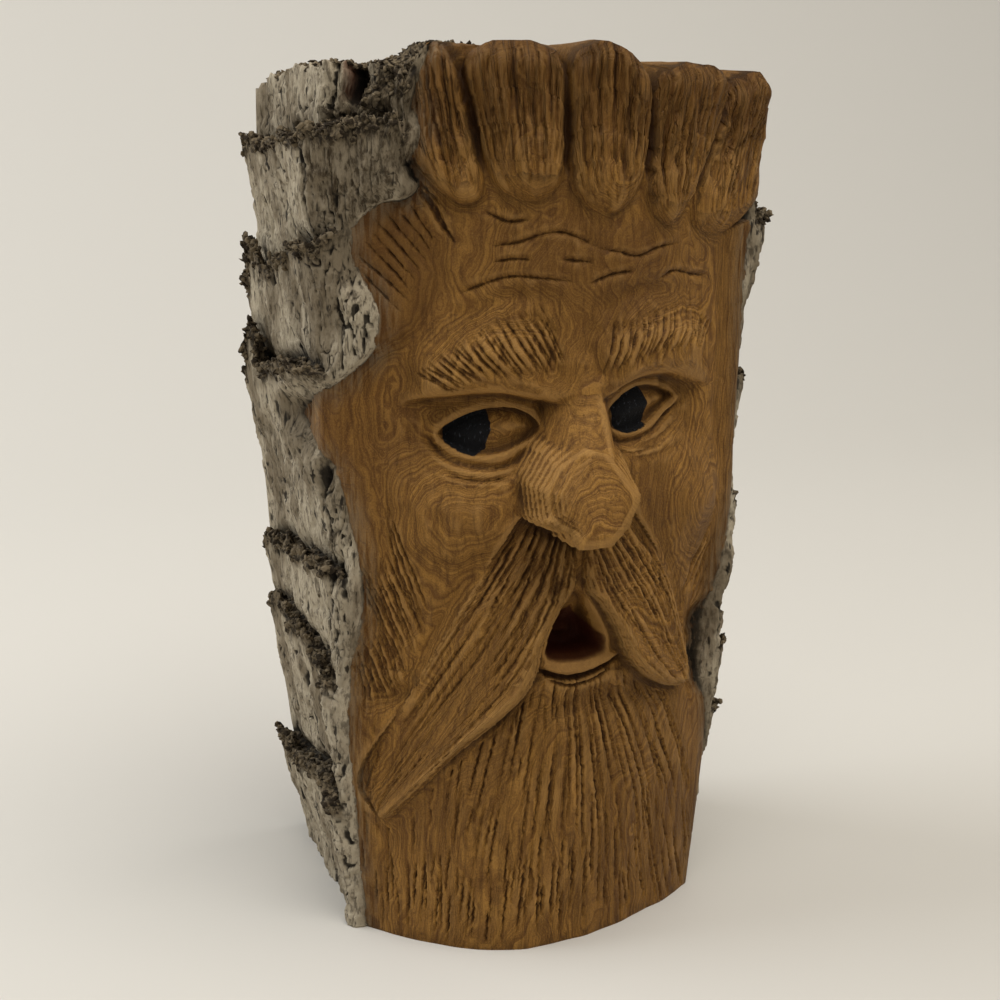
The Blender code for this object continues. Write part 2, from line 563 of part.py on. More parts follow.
def slab_mesh():
    """The closed mesh: the rows of points, a flat base and the sawn top."""
    rings, a = surface()
    rim = rings[-1]
    seams = notches(a)
    for share in CAP_RINGS:
        flat = CAP_MIDDLE + (rim[:, :2] - CAP_MIDDLE) * share
        cap = np.column_stack([flat, crown(flat[:, 0], flat[:, 1]) - seams * share**14])
        rings = np.vstack([rings, cap[None]])
    rings[:, :, 2] -= PLAN_FOOT
    real_sizes = np.array([WIDTH / PLAN_WIDTH, DEPTH / PLAN_DEPTH, HEIGHT / (PLAN_TOP - PLAN_FOOT)])
    rings *= real_sizes * METRES_PER_MM

    count = rings.shape[1]
    points = rings.reshape(-1, 3)
    base_centre = np.array([[points[:count, 0].mean(), points[:count, 1].mean(), 0.0]])
    top_centre = points[-count:].mean(axis=0, keepdims=True)
    points = np.vstack([points, base_centre, top_centre])
    index = np.arange(len(rings) * count).reshape(len(rings), count)
    after = np.roll(index, -1, axis=1)
    walls = np.stack([index[:-1], after[:-1], after[1:], index[1:]], axis=-1).reshape(-1, 4)
    faces = walls.tolist()
    faces += [(int(q), int(p), len(points) - 2) for p, q in zip(index[0], after[0])]
    faces += [(int(p), int(q), len(points) - 1) for p, q in zip(index[-1], after[-1])]
    return points, faces


for leftover in list(bpy.data.objects):
    bpy.data.objects.remove(leftover)

points, faces = slab_mesh()
centre = (points.min(axis=0) + points.max(axis=0)) / 2
points -= [centre[0], centre[1], 0.0]
mesh = bpy.data.meshes.new("wood_spirit_carving")
mesh.from_pydata(points.tolist(), [], faces)
carving = bpy.data.objects.new("wood_spirit_carving", mesh)
bpy.context.scene.collection.objects.link(carving)

# The facets are thinned where the surface is plain, and the base is kept truly flat.
thin = carving.modifiers.new("thin", "DECIMATE")
thin.ratio = MOST_TRIANGLES / (2 * len(faces))
evaluated = carving.evaluated_get(bpy.context.evaluated_depsgraph_get())
solid = bpy.data.meshes.new_from_object(evaluated)
carving.modifiers.remove(thin)
for vertex in solid.vertices:
    if vertex.co.z < 0.0002:
        vertex.co.z = 0.0
carving.data = solid
solid.name = "wood_spirit_carving"

wood = bpy.data.materials.new("carved_bark")
wood.use_nodes = True
shader = wood.node_tree.nodes["Principled BSDF"]
shader.inputs["Base Color"].default_value = WOOD_COLOUR
shader.inputs["Roughness"].default_value = WOOD_ROUGHNESS
solid.materials.append(wood)
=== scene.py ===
"""The looks of the wood spirit: a bearded face carved into a thick slab of bark, in plan millimetres.

The carving is drawn on a plan unrolled from the slab: a runs round it, 0 on the face's centre line and
growing to the right, and z is the height. Relief is pushed out or cut in square to the slab's smooth
surface.
"""

import bpy
import numpy as np
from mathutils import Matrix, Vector


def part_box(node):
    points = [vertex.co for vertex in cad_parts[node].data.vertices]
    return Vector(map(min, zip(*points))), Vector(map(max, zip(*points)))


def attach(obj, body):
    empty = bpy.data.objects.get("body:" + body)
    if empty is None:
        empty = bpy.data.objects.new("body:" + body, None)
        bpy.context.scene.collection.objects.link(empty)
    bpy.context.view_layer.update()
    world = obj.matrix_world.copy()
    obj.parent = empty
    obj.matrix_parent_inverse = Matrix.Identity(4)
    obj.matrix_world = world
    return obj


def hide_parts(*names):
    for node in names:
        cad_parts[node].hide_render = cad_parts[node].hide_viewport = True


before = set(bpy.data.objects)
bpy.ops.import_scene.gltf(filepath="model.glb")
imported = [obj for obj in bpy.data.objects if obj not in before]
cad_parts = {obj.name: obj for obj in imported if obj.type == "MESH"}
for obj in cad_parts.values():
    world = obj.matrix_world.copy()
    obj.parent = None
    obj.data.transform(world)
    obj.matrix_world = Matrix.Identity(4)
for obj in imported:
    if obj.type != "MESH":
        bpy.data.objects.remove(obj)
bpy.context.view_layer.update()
draw = np.random.default_rng(7)

# The slab
# A wedge of thick bark split from an old trunk and sawn square at its foot and top. Its smooth form is a
# round-cornered section that widens upwards, and all the carving is measured square to it.
PLAN_FOOT = 1.6
PLAN_TOP = 236.0
slab_low, slab_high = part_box("wood_spirit_carving")
MM = (slab_high.z - slab_low.z) / (PLAN_TOP - PLAN_FOOT)
BACK_Y = 42.0
SECTION_Z = np.array([0, 45, 90, 135, 180, PLAN_TOP])
LEFT_CORNER_X = np.array([-44.5, -47, -49, -51, -51, -50.0])
LEFT_CORNER_Y = np.array([-28, -28, -27, -26, -24, -22.0])
LEFT_BACK_X = np.array([-44.5, -50, -53.5, -55, -54.5, -54.0])
RIDGE_X = np.array([-4, 2, 8, 12, 14, 16.0])
RIDGE_Y = np.array([-55, -56, -56, -55, -52, -50.0])
RIGHT_CORNER_X = np.array([51, 56, 62, 64.5, 67.5, 74.0])
RIGHT_CORNER_Y = np.array([-30, -28, -26, -25, -22, -20.0])
RIGHT_BACK_X = np.array([50, 53, 60, 64, 68, 73.0])
FACE_X = np.array([7, 8, 9.5, 11, 12, 12.0])

FIRST_COLUMN, CARVED_FROM, CARVED_TO, LAST_COLUMN = -140.0, -74.0, 62.0, 134.0
FINE_STEP, BARK_STEP, BACK_STEP = 0.30, 0.5, 2.0
front = np.r_[
    np.arange(FIRST_COLUMN, CARVED_FROM, BARK_STEP),
    np.arange(CARVED_FROM, CARVED_TO, FINE_STEP),
    np.arange(CARVED_TO, LAST_COLUMN, BARK_STEP),
]
rows = np.linspace(PLAN_FOOT, PLAN_TOP, int(PLAN_TOP / FINE_STEP))


def between(values, z):
    """A smooth curve through the section values, read at height z."""
    i = np.clip(np.searchsorted(SECTION_Z, z, side="right") - 1, 0, len(SECTION_Z) - 2)
    span = SECTION_Z[i + 1] - SECTION_Z[i]
    slope = np.gradient(values, SECTION_Z)
    t = (z - SECTION_Z[i]) / span
    start = (2 * t**3 - 3 * t**2 + 1) * values[i] + (t**3 - 2 * t**2 + t) * span * slope[i]
    end = (3 * t**2 - 2 * t**3) * values[i + 1] + (t**3 - t**2) * span * slope[i + 1]
    return start + end


def outline(z, count=900):
    """The slab's smooth section at height z: a closed round-cornered curve, from the face's centre line."""
    left, left_y = between(LEFT_CORNER_X, z), between(LEFT_CORNER_Y, z)
    right, right_y = between(RIGHT_CORNER_X, z), between(RIGHT_CORNER_Y, z)
    ridge, ridge_y = between(RIDGE_X, z), between(RIDGE_Y, z)
    left_back, right_back = between(LEFT_BACK_X, z), between(RIGHT_BACK_X, z)

    guide = [(left_back, BACK_Y)] * 2
    for t in (1 / 3, 2 / 3, 1, 1):
        guide.append((left_back + (left - left_back) * t, BACK_Y + (left_y - BACK_Y) * t))
    for t in (0.8, 0.5, 0.22, 0):
        guide.append((ridge + (left - ridge) * t, ridge_y + (left_y - ridge_y) * t**1.9))
    for t in (0.22, 0.5, 0.8):
        guide.append((ridge + (right - ridge) * t, ridge_y + (right_y - ridge_y) * t**1.9))
    for t in (0, 0, 1 / 3, 2 / 3, 1, 1):
        guide.append((right + (right_back - right) * t, right_y + (BACK_Y - right_y) * t))
    guide += [(right_back / 3, BACK_Y), (left_back / 3, BACK_Y)]
    guide = np.array(guide)

    at = np.arange(count) / count * len(guide)
    i = at.astype(int)
    t = (at - i)[:, None]
    p, q, r, s = (guide[(i + shift) % len(guide)] for shift in (-1, 0, 1, 2))
    curve = (1 - t) ** 3 * p + (3 * t**3 - 6 * t**2 + 4) * q
    curve = (curve + (-3 * t**3 + 3 * t**2 + 3 * t + 1) * r + t**3 * s) / 6
    from_face = np.where(curve[:, 1] < -10, np.abs(curve[:, 0] - between(FACE_X, z)), 1e9)
    return np.roll(curve, -int(np.argmin(from_face)), axis=0)


# The carver's plan
# The unrolled surface, one value of relief for each point of the grid, and the few cuts a knife and a gouge
# can make in it: a V groove, a soft ridge, a mound, and a surface laid within an outline.
a, z = np.meshgrid(front, rows)
relief = np.zeros_like(a)
lift = np.zeros_like(a)
grooves = np.zeros_like(a)
# The depth of every knife cut, kept so that the finish can paint shade into the cuts.
cuts = np.zeros_like(a)
flow = np.zeros_like(a)
comb = np.zeros_like(a)
EVERYWHERE = (slice(None), slice(None))


def rounded(points, closed=False, parts=5):
    """A smooth line through a few given points."""
    points = np.array(points, float)
    if closed:
        padded = np.vstack([points[-1:], points, points[:2]])
    else:
        padded = np.vstack([2 * points[0] - points[1], points, 2 * points[-1] - points[-2]])
    line = []
    for p, q, r, s in zip(padded, padded[1:], padded[2:], padded[3:]):
        for t in np.arange(parts) / parts:
            line.append(q + 0.5 * t * (r - p + t * (2 * p - 5 * q + 4 * r - s + t * (3 * (q - r) + s - p))))
    line.append(padded[-2])
    return np.array(line)


def ease(low, high, value):
    """A soft step from 0 at low to 1 at high."""
    t = np.clip((value - low) / (high - low), 0, 1)
    return t * t * (3 - 2 * t)


def noise(x, y, seed):
    """Smooth noise from 0 to 1."""
    lattice = np.random.default_rng(seed).random((64, 64))
    i, j = np.floor(x).astype(int), np.floor(y).astype(int)
    u, v = x - i, y - j
    u, v = u * u * (3 - 2 * u), v * v * (3 - 2 * v)
    low = lattice[i % 64, j % 64] * (1 - u) + lattice[(i + 1) % 64, j % 64] * u
    high = lattice[i % 64, (j + 1) % 64] * (1 - u) + lattice[(i + 1) % 64, (j + 1) % 64] * u
    return low * (1 - v) + high * v


CUT_WANDER = 0.45
rough_edge = CUT_WANDER * (noise(a / 0.8, z / 1.7, 51) - 0.5)


def near(line, reach):
    """The part of the plan within reach of a line."""
    low, high = line.min(axis=0) - reach, line.max(axis=0) + reach
    across = slice(np.searchsorted(front, low[0]), np.searchsorted(front, high[0]))
    up = slice(np.searchsorted(rows, low[1]), np.searchsorted(rows, high[1]))
    return up, across


def distance(line, part=EVERYWHERE):
    """The distance to a line, and how far along the line its nearest point is, from 0 to 1."""
    best = np.full(a[part].shape, 1e9)
    along = np.zeros(best.shape)
    for i, (start, end) in enumerate(zip(line, line[1:])):
        way = end - start
        t = ((a[part] - start[0]) * way[0] + (z[part] - start[1]) * way[1]) / max(way @ way, 1e-9)
        t = np.clip(t, 0, 1)
        gap = np.hypot(a[part] - start[0] - t * way[0], z[part] - start[1] - t * way[1])
        nearer = gap < best
        best[nearer] = gap[nearer]
        along[nearer] = (i + t[nearer]) / (len(line) - 1)
    return best, along


def inside(points, reach=12.0, parts=5):
    """The distance inside a closed outline: above 0 within it, below 0 outside."""
    line = rounded(points, closed=True, parts=parts)
    part = near(line, reach)
    gap = distance(line, part)[0]
    within = np.zeros(gap.shape, bool)
    for (a0, z0), (a1, z1) in zip(line, line[1:]):
        if z0 != z1:
            crosses = (z0 > z[part]) != (z1 > z[part])
            within ^= crosses & (a[part] < (a1 - a0) * (z[part] - z0) / (z1 - z0) + a0)
    depth = np.full(a.shape, -reach)
    depth[part] = np.where(within, gap, -gap)
    return depth


def cut(points, width, depth, where=None, blunt=0.12):
    """A knife cut: a V groove along a line, shallow at both ends."""
    line = rounded(points)
    part = near(line, width)
    gap, along = distance(line, part)
    gap = np.abs(gap + rough_edge[part])
    fade = np.clip(np.minimum(along, 1 - along) / blunt, 0, 1) ** 0.6
    groove = depth * fade * np.clip(1 - gap / (width / 2 * (0.55 + 0.45 * fade)), 0, 1)
    if where is not None:
        groove = groove * where[part]
    grooves[part] = np.maximum(grooves[part], groove)


def carve_grooves():
    """Takes the cuts made so far out of the relief, each to its own depth where they cross."""
    relief[:] = relief - grooves
    cuts[:] = np.maximum(cuts, grooves)
    grooves[:] = 0


def ridge(points, width, height, blunt=0.2):
    """A soft ridge along a line, or a fold where the height is below 0."""
    line = rounded(points)
    part = near(line, 2.5 * width)
    gap, along = distance(line, part)
    fade = np.clip(np.minimum(along, 1 - along) / blunt, 0, 1) ** 0.7
    relief[part] += height * fade * np.exp(-((gap / width) ** 2))


def mound(at_a, at_z, across, up, height):
    """A round mound, or a hollow where the height is below 0."""
    return height * np.exp(-(((a - at_a) / across) ** 2) - ((z - at_z) / up) ** 2)


def lay(depth, surface, soft):
    """The relief with a surface laid over it within an outline, with an edge that is soft wide."""
    return relief + (surface - relief) * ease(0, soft, depth)


def guide_sides(guides):
    """Where each guide line of a bundle of strands is at each row."""
    sides = []
    for guide in guides:
        line = rounded(guide)
        order = np.argsort(line[:, 1])
        sides.append(np.interp(rows, line[order, 1], line[order, 0]))
    return np.array(sides)


def across_guides(guides):
    """How far across a bundle of strands a point is: 0 on the first guide line, 1 on the second."""
    sides = guide_sides(guides)
    index = np.arange(len(guides))
    return np.array([np.interp(front, sides[:, row], index) for row in range(len(rows))])


def strands(guides, count, low, high, lengths, width, depth, where):
    """Long knife cuts that follow a bundle, uneven in place, length, width and depth."""
    sides = guide_sides(guides)
    last = len(guides) - 1
    for number in range(count):
        share = last * (number + draw.uniform(0.1, 0.9)) / count
        length = draw.uniform(*lengths)
        start = draw.uniform(low - 0.2 * length, max(high - 0.8 * length, low))
        drift = draw.uniform(-0.10, 0.10)
        line = []
        for step in np.linspace(0, 1, 4):
            height = start + step * length
            row = int(np.clip(np.searchsorted(rows, height), 0, len(rows) - 1))
            at = np.clip(share + drift * step, 0, last)
            line.append((np.interp(at, np.arange(last + 1), sides[:, row]), height))
        cut(line, width * draw.uniform(0.6, 1.2), depth * draw.uniform(0.55, 1.1), where, 0.35)


def comb_over(lanes, spacing, offset, where):
    """Leaves the way the strands run, for the fine lines that the finish draws along them."""
    flow[:] = flow + (lanes * spacing + offset - flow) * (where > 0.02)
    comb[:] = np.maximum(comb * (1 - where), where)


# The face
# The ridge of the slab is cut back from the hair's ground to the beard, and the brows are left over two
# sockets. The surface keeps the soft flats of a gouge, and the thin growth layers show as rings on every
# mound.
FACE_SET_BACK = 3.8
BROW_HEIGHT = 3.6
SOCKET_DEPTH = 3.4
CHEEK_HEIGHT = 3.8
BROW_LEDGE = [
    (-52, 146), (-44, 149), (-34, 150.5), (-22, 151), (-11, 149.3), (0, 147.8), (9, 150), (18, 152.8),
    (30, 152.8), (42, 149.5), (52, 146),
]
FACE_WIDENING = 22
face_end = a - FACE_WIDENING * ease(188, 206, z)
face = ease(60, 76, z) * ease(-66, -52, a) * ease(66, 54, face_end)
relief -= FACE_SET_BACK * face
relief += mound(0, 184, 40, 11, 1.4)
ridge([(-44, 153), (-34, 158), (-22, 161), (-10, 157)], 6.5, BROW_HEIGHT)
ridge([(5, 157), (16, 162), (30, 162), (46, 156)], 6.5, BROW_HEIGHT)
relief += mound(0, 155, 9, 7, 1.2)

line = rounded(BROW_LEDGE)
below_brow = np.interp(a, line[:, 0], line[:, 1]) - z
socket = ease(-52, -38, a) * ease(52, 38, a) * (1 - 0.75 * np.exp(-((a / 8) ** 2)))
relief -= SOCKET_DEPTH * socket * ease(-0.4, 1.6, below_brow) * (1 - ease(10, 22, below_brow))
relief += mound(-33, 119, 16, 10, 1.15 * CHEEK_HEIGHT)
relief += mound(-47, 105, 11, 10, 0.42 * CHEEK_HEIGHT)
relief += mound(43, 117, 13, 12, 1.25 * CHEEK_HEIGHT)
relief += mound(-42, 113, 4, 3, 0.7) + mound(-35, 110, 4, 3, 0.6) + mound(-28, 121, 4, 3, 0.6)
relief += mound(-50, 128, 7, 8, 0.8) + mound(-36, 118, 2, 3, -0.5)
GOUGE_DEPTH = 0.8
gouge = np.abs(noise(a / 6.5 + 0.1 * z, z / 5.2, 31) - 0.5) + np.abs(noise(a / 4.2, z / 7.0, 35) - 0.5)
relief -= GOUGE_DEPTH * face * (gouge - 0.3)
relief += 0.2 * face * (noise(a / 2.2, z / 2.6, 32) - 0.5)

# The eyes
# Two almond openings with a thin lid round each, cut under the brow. The balls are left bare and only the
# pupils are painted, both at the left of their openings, so the spirit looks aside.
PUPIL_RADIUS = 6.9
BALL_DEPTH, BALL_ROUND, BALL_LEAN, RIM_HEIGHT = 2.9, 2.3, 0.11, 0.15
PUPILS = {"left": (-32, 140.4), "right": (19.2, 144.2)}
EYES = {
    "left": [
        (-39.5, 139), (-35, 143), (-28, 145.7), (-20, 146.4), (-14, 144.4), (-11.5, 141), (-16, 137.4),
        (-24, 134.8), (-32, 134.8),
    ],
    "right": [
        (8.5, 143), (12.5, 147), (19, 149.6), (26, 149.6), (33, 147.8), (38.5, 145), (32, 142), (24, 139.4),
        (15, 138.6),
    ],
}
EYE_MIDDLES = {"left": 141.0, "right": 145.0}
pupil = np.full_like(a, -12.0)
for side, eye in EYES.items():
    opening = inside(eye)
    over_middle = z - EYE_MIDDLES[side]
    ball = -BALL_DEPTH + BALL_ROUND * ease(0, 6.0, opening) - BALL_LEAN * over_middle
    relief += ease(-0.15, 0.35, opening) * ball
    relief += RIM_HEIGHT * np.exp(-(((opening + 0.7) / 0.6) ** 2)) * ease(1.5, -1.5, over_middle)
    disc = PUPIL_RADIUS - np.hypot(a - PUPILS[side][0], (z - PUPILS[side][1]) * 0.94)
    pupil = np.maximum(pupil, np.minimum(disc, opening + 0.1))
for fold, wide, high in (
    ([(-44, 141.5), (-36, 146.4), (-28, 149.2), (-20, 149.6), (-13, 147)], 1.4, -0.8),
    ([(-43, 139.5), (-39, 135), (-32, 132.6), (-23, 131.8), (-15, 135), (-11.5, 138.5)], 1.1, -1.5),
    ([(-42, 133), (-33, 129.6), (-23, 129.2), (-15, 131.5)], 0.9, -0.7),
    ([(-40, 129), (-31, 126.8), (-22, 127.2)], 0.8, -0.45),
    ([(-12, 149), (-9.2, 143.5), (-8.8, 137), (-10.5, 130)], 1.9, -2.0),
    ([(10, 150.4), (19, 152.6), (28, 152.4), (38, 149.2)], 1.4, -0.7),
    ([(-49, 148), (-38, 152.6), (-27, 154.6), (-16, 153.4), (-5, 150.6), (6, 152.6), (18, 155.8)], 2.0, 0.9),
    ([(10, 154), (18, 155.8), (30, 156), (41, 153), (51, 148.6)], 2.0, 0.8),
    ([(30, 151), (38, 147.5), (47, 144.5)], 2.2, -1.3),
    ([(8, 139), (15, 136.6), (25, 137.4), (34, 140.4), (43, 144)], 1.0, -1.5),
    ([(9, 136.4), (17, 134.8), (27, 135.4), (38, 138)], 0.8, -0.9),
    ([(13, 133.2), (21, 131.8), (30, 132), (41, 133.4)], 0.8, -0.6),
):
    ridge(fold, wide, high, 0.15)
for crease in (
    [(-43, 139), (-39, 134.2), (-32, 131.8), (-23, 131.2), (-15, 134.2)],
    [(-36, 129.6), (-28, 128.4), (-20, 129.2)],
    [(8, 138.6), (15, 136), (25, 136.8), (34, 140), (43, 143.6)],
    [(10, 134.8), (18, 133.4), (28, 134.2)],
):
    cut(crease, 1.1, 0.8)
carve_grooves()

# The nose
# A whittled wedge: a narrow bridge opens into one flat kite-shaped front, its sides fall away in straight
# knife facets, and the foot is cut under.
NOSE_FOOT, NOSE_ROOT, NOSE_BLEND = 108.0, 153.0, 0.6
BRIDGE_LEFT, BRIDGE_RIGHT = 0.0, 4.4
NOSE_KITE = [
    (-1.5, 137.5), (-7.5, 133.5), (-10.5, 128), (-9.5, 122.4), (-5.4, 119.4), (-3.8, 115.8), (1.4, 116.2),
    (5.2, 120.6), (8.4, 126), (5.6, 131.6), (2.6, 136),
]
kite = inside(NOSE_KITE, 20, 1)
front_flat = 13.4 - 0.40 * np.clip(z - 118.5, -2, 40) - 0.12 * np.clip(118.5 - z, 0, 6)
steep = 1.7 + 0.7 * ease(133, 124, z) + 2.6 * ease(119.5, 115.5, z)
soft = 0.12 + 1.3 * ease(0, -6, a) * ease(118, 124, z)
facets = front_flat + 0.08 * np.minimum(kite, 4)
facets -= steep * soft * np.logaddexp(0, (-kite - 0.15) / soft)
bridge = np.interp(z, [124, 130, 138, 145, 149, NOSE_ROOT], [11, 8.8, 4.8, 1.4, -1.0, -3.4])
to_left, to_right = np.clip(BRIDGE_LEFT - a, 0, 30), np.clip(a - BRIDGE_RIGHT, 0, 30)
bridge = bridge - 0.25 * to_left - 0.06 * to_left**2 - 1.7 * to_right
nose_floor = -12.0
nose = np.maximum(facets, np.where(z > 124, bridge, nose_floor))
nose = np.where((np.abs(a) < 24) & (z > NOSE_FOOT) & (z < NOSE_ROOT), nose, nose_floor)
bare_face = relief.copy()
relief = NOSE_BLEND * np.logaddexp(relief / NOSE_BLEND, nose / NOSE_BLEND)

# The beard
# Set back under the lip and flush with the slab lower down. Long V cuts fan out from the lip, nearly
# upright on the left and leaning out on the right, each stopping a little above the sawn foot.
BEARD_SET_BACK = 2.4
BEARD_GUIDES = [
    [(-58, 76), (-59, 52), (-59, 30), (-58, 2)],
    [(-46, 76), (-49, 52), (-49, 30), (-48, 2)],
    [(-33, 76), (-36, 60), (-37, 40), (-38, 2)],
    [(-17, 76), (-22, 56), (-27, 32), (-29, 2)],
    [(-10, 76), (-13, 54), (-16, 30), (-18, 2)],
    [(-4, 76), (-5.5, 54), (-7, 30), (-8.5, 2)],
    [(1, 76), (1.5, 54), (1.5, 30), (0.5, 2)],
    [(6, 76), (9, 56), (12.5, 35), (16, 2)],
    [(11, 76), (17, 56), (24, 35), (32, 2)],
    [(18, 76), (28, 56), (37, 36), (47, 2)],
    [(30, 76), (41, 54), (49, 34), (58, 2)],
]
beard = ease(79, 72, z) * ease(-66, -60, a) * ease(62, 54, a)
relief += beard * (-BEARD_SET_BACK * ease(40, 74, z) - relief * ease(66, 76, z))
relief += beard * 0.9 * (noise(a / 6, z / 50, 11) - 0.5)
relief -= 3.5 * ease(44, 52, a) * ease(56, 64, z) * ease(88, 80, z)

# The moustache
# Two heavy leaves from under the nose, sunk at the root and proud at the lower edge, which is left as a
# smooth pale rim. The left one droops past the corner of the beard, the right one is shorter.
MOUSTACHE_SET_BACK = 3.0
MOUSTACHE_RIM = 4.6
MOUSTACHES = {
    "left": [
        (-15, 121.5), (-21, 114), (-28, 103), (-35, 91), (-42, 79), (-50, 65), (-58, 53), (-61, 44),
        (-57, 37), (-51, 33.5), (-45, 39), (-38, 47), (-30, 56), (-21, 64), (-14, 71), (-10, 78),
        (-8.5, 86), (-5, 94), (0, 101), (0, 112), (-5, 118),
    ],
    "right": [
        (17, 120), (24, 112.5), (30, 104.5), (35, 96.5), (40, 87.5), (43.5, 80), (44.5, 72), (42, 65),
        (35, 65.5), (28, 68.5), (20, 73.5), (14, 80), (10.5, 87), (6, 94), (1, 100.5), (1, 112), (8, 118),
    ],
}
MOUSTACHE_GUIDES = {
    "left": [
        [(-15, 120), (-22, 111), (-31, 97), (-39, 84), (-48, 68), (-57, 53), (-60, 42)],
        [(-10, 118), (-15, 106), (-22, 93), (-31, 79), (-42, 63), (-52, 47), (-56, 38)],
        [(-4, 115), (-8, 102), (-13, 90), (-20, 78), (-32, 63), (-46, 47), (-54, 36)],
        [(0, 112), (-3, 99), (-8.5, 86), (-13, 74), (-25, 61), (-42, 44), (-52, 34)],
    ],
    "right": [
        [(1, 113), (3, 102), (8, 91), (14, 81), (24, 72), (36, 66)],
        [(6, 116), (12, 105), (18, 95), (26, 84), (35, 73), (41, 65)],
        [(12, 118), (20, 108), (27, 98), (34, 86), (40, 75), (42, 65)],
        [(17, 120), (25, 111), (32, 102), (38, 92), (44, 80), (44, 65)],
    ],
}
moustache = {}
for side, leaf in MOUSTACHES.items():
    sign = -1 if side == "left" else 1
    depth = inside(leaf, 20)
    moustache[side] = depth
    lowest = leaf.index(min(leaf, key=lambda point: point[1]))
    gap = distance(rounded(leaf[lowest:]))[0]
    rim = np.exp(-((gap / 9) ** 2))
    sunk = 3.0 * np.exp(-(((z - 121) / 15) ** 2))
    surface = -MOUSTACHE_SET_BACK + MOUSTACHE_RIM * rim * ease(118, 90, z) - sunk
    surface += mound(24 * sign, 84, 13, 20, 1.6)
    surface -= 2.0 * (1 - ease(0, 2.6, depth)) * ease(12, 5, gap)
    relief = lay(depth, surface, 1.4)
    guides = MOUSTACHE_GUIDES[side]
    hair = ease(0.4, 1.8, depth)
    relief += hair * 0.8 * (noise(across_guides(guides) * 2.6, z / 30, 41) - 0.5)
    bare_rim = hair * (1 - 0.8 * np.exp(-((gap / 2.4) ** 2)))
    lowest_cut = 34 if side == "left" else 66
    strands(guides, 11, lowest_cut + 4, 116, (28, 50), 1.1, 1.1, bare_rim)
    strands(guides, 24, lowest_cut, 110, (8, 22), 0.9, 0.8, bare_rim)
    strands(guides, 30, 90, 118, (10, 24), 1.3, 1.5, bare_rim)
    carve_grooves()
    comb_over(across_guides(guides), 6.0, 100.0 + 100 * sign, 0.4 * hair)
relief = np.maximum(relief, np.where(z > 114.5, nose, nose_floor))
comb = comb * np.where((nose > -2) & (z > 114.5), 0, 1)
cuts = cuts * np.where((nose > -2) & (z > 114.5), 0, 1)

# The beard is cut after the moustache, so that its strands run up to the pale rim.
bare = ease(0.4, -0.8, moustache["left"]) * ease(0.4, -0.8, moustache["right"])
hair = ease(77, 74.5, z) * bare * ease(-64, -60, a) * ease(62, 56, a)
strands(BEARD_GUIDES, 34, 33, 74, (28, 48), 1.15, 1.5, hair)
strands(BEARD_GUIDES, 44, 16, 56, (8, 26), 1.0, 1.2, hair)
strands(BEARD_GUIDES, 50, 4, 28, (8, 24), 1.1, 1.4, hair)
strands(BEARD_GUIDES, 30, 60, 76, (6, 14), 1.2, 1.4, hair)
carve_grooves()
comb_over(across_guides(BEARD_GUIDES), 9.0, 300.0, 0.3 * hair)

# The mouth and the lower lip
# A deep open mouth like a leaning triangle, sloping in from its top, over one thin lip.
MOUTH_DEPTH = 11.0
LIP_HEIGHT = 1.5
MOUTH = [
    (1, 99.5), (-3, 96.5), (-6.5, 90), (-8.3, 84), (-7, 80.9), (0, 80), (6, 80.3), (10.5, 82), (9.5, 87),
    (6, 93),
]
mouth = inside(MOUTH)
relief -= MOUTH_DEPTH * ease(-0.3, 2.0, mouth) * (0.30 + 0.70 * ease(97, 87, z))
relief += ease(0.5, 2, mouth) * 1.2 * (noise(a / 2.2, z / 2.2, 42) - 0.5)
comb = comb * ease(0.5, -0.5, mouth)
ridge([(-11, 80.5), (-5, 78.4), (2, 77.8), (9, 79.2), (15, 81)], 1.0, LIP_HEIGHT)
cut([(-12, 78.9), (-4, 76.3), (2, 75.8), (9, 76.9), (16.5, 79.6)], 2.4, 2.6)
cut([(-8, 76), (-1, 73.8), (7, 74.5), (13, 77)], 1.4, 1.3)
carve_grooves()

# The hair
# Five long locks, each a flattened pillow with a round end, parted by V notches that break the sawn top.
# Each rounds over towards the top, and its strands gather towards its end.
LOCK_SET_BACK = 3.8
LOCK_HEIGHT = 4.6
HAIR_LOCKS = [
    [
        (-47, 252), (-45.5, 228), (-46, 215), (-43, 206), (-37, 200), (-30, 197.5), (-26, 201), (-27, 212),
        (-31, 227), (-34, 252),
    ],
    [
        (-33.5, 252), (-30, 227), (-27, 212), (-24, 203), (-19, 199), (-13, 198), (-8, 200.5), (-5.2, 207),
        (-4.6, 228), (-5.5, 252),
    ],
    [
        (-3.5, 252), (-3.6, 228), (-4.2, 206), (-1.5, 198.5), (3, 195), (9, 194.5), (14, 198), (18, 205),
        (20.3, 226), (20.8, 252),
    ],
    [
        (22, 252), (21.3, 226), (19, 204), (20, 196), (24, 191.5), (29, 190.5), (35, 196), (42, 208),
        (48, 222), (53, 252),
    ],
    [
        (55, 252), (50, 224), (44, 208), (38, 199), (37, 191), (43, 187), (52, 186), (62, 188), (74, 196),
        (84, 252),
    ],
]
LOCK_GUIDES = [
    [[(-45, 240), (-42, 216), (-36, 198)], [(-33, 240), (-28, 212), (-26, 198)]],
    [
        [(-33, 240), (-27, 212), (-21, 199)],
        [(-19, 240), (-17, 212), (-15, 199)],
        [(-5, 240), (-5, 212), (-8, 199)],
    ],
    [[(-5, 240), (-4, 210), (2, 194)], [(8, 240), (8, 210), (8, 194)], [(21, 240), (19, 210), (13, 194)]],
    [[(22, 240), (19, 206), (24, 190)], [(36, 240), (31, 210), (28, 190)], [(52, 240), (42, 208), (31, 190)]],
    [[(54, 240), (45, 208), (40, 186)], [(64, 240), (56, 208), (50, 186)], [(82, 240), (72, 208), (62, 186)]],
]
STRANDS_PER_LOCK = [9, 13, 12, 12, 14]
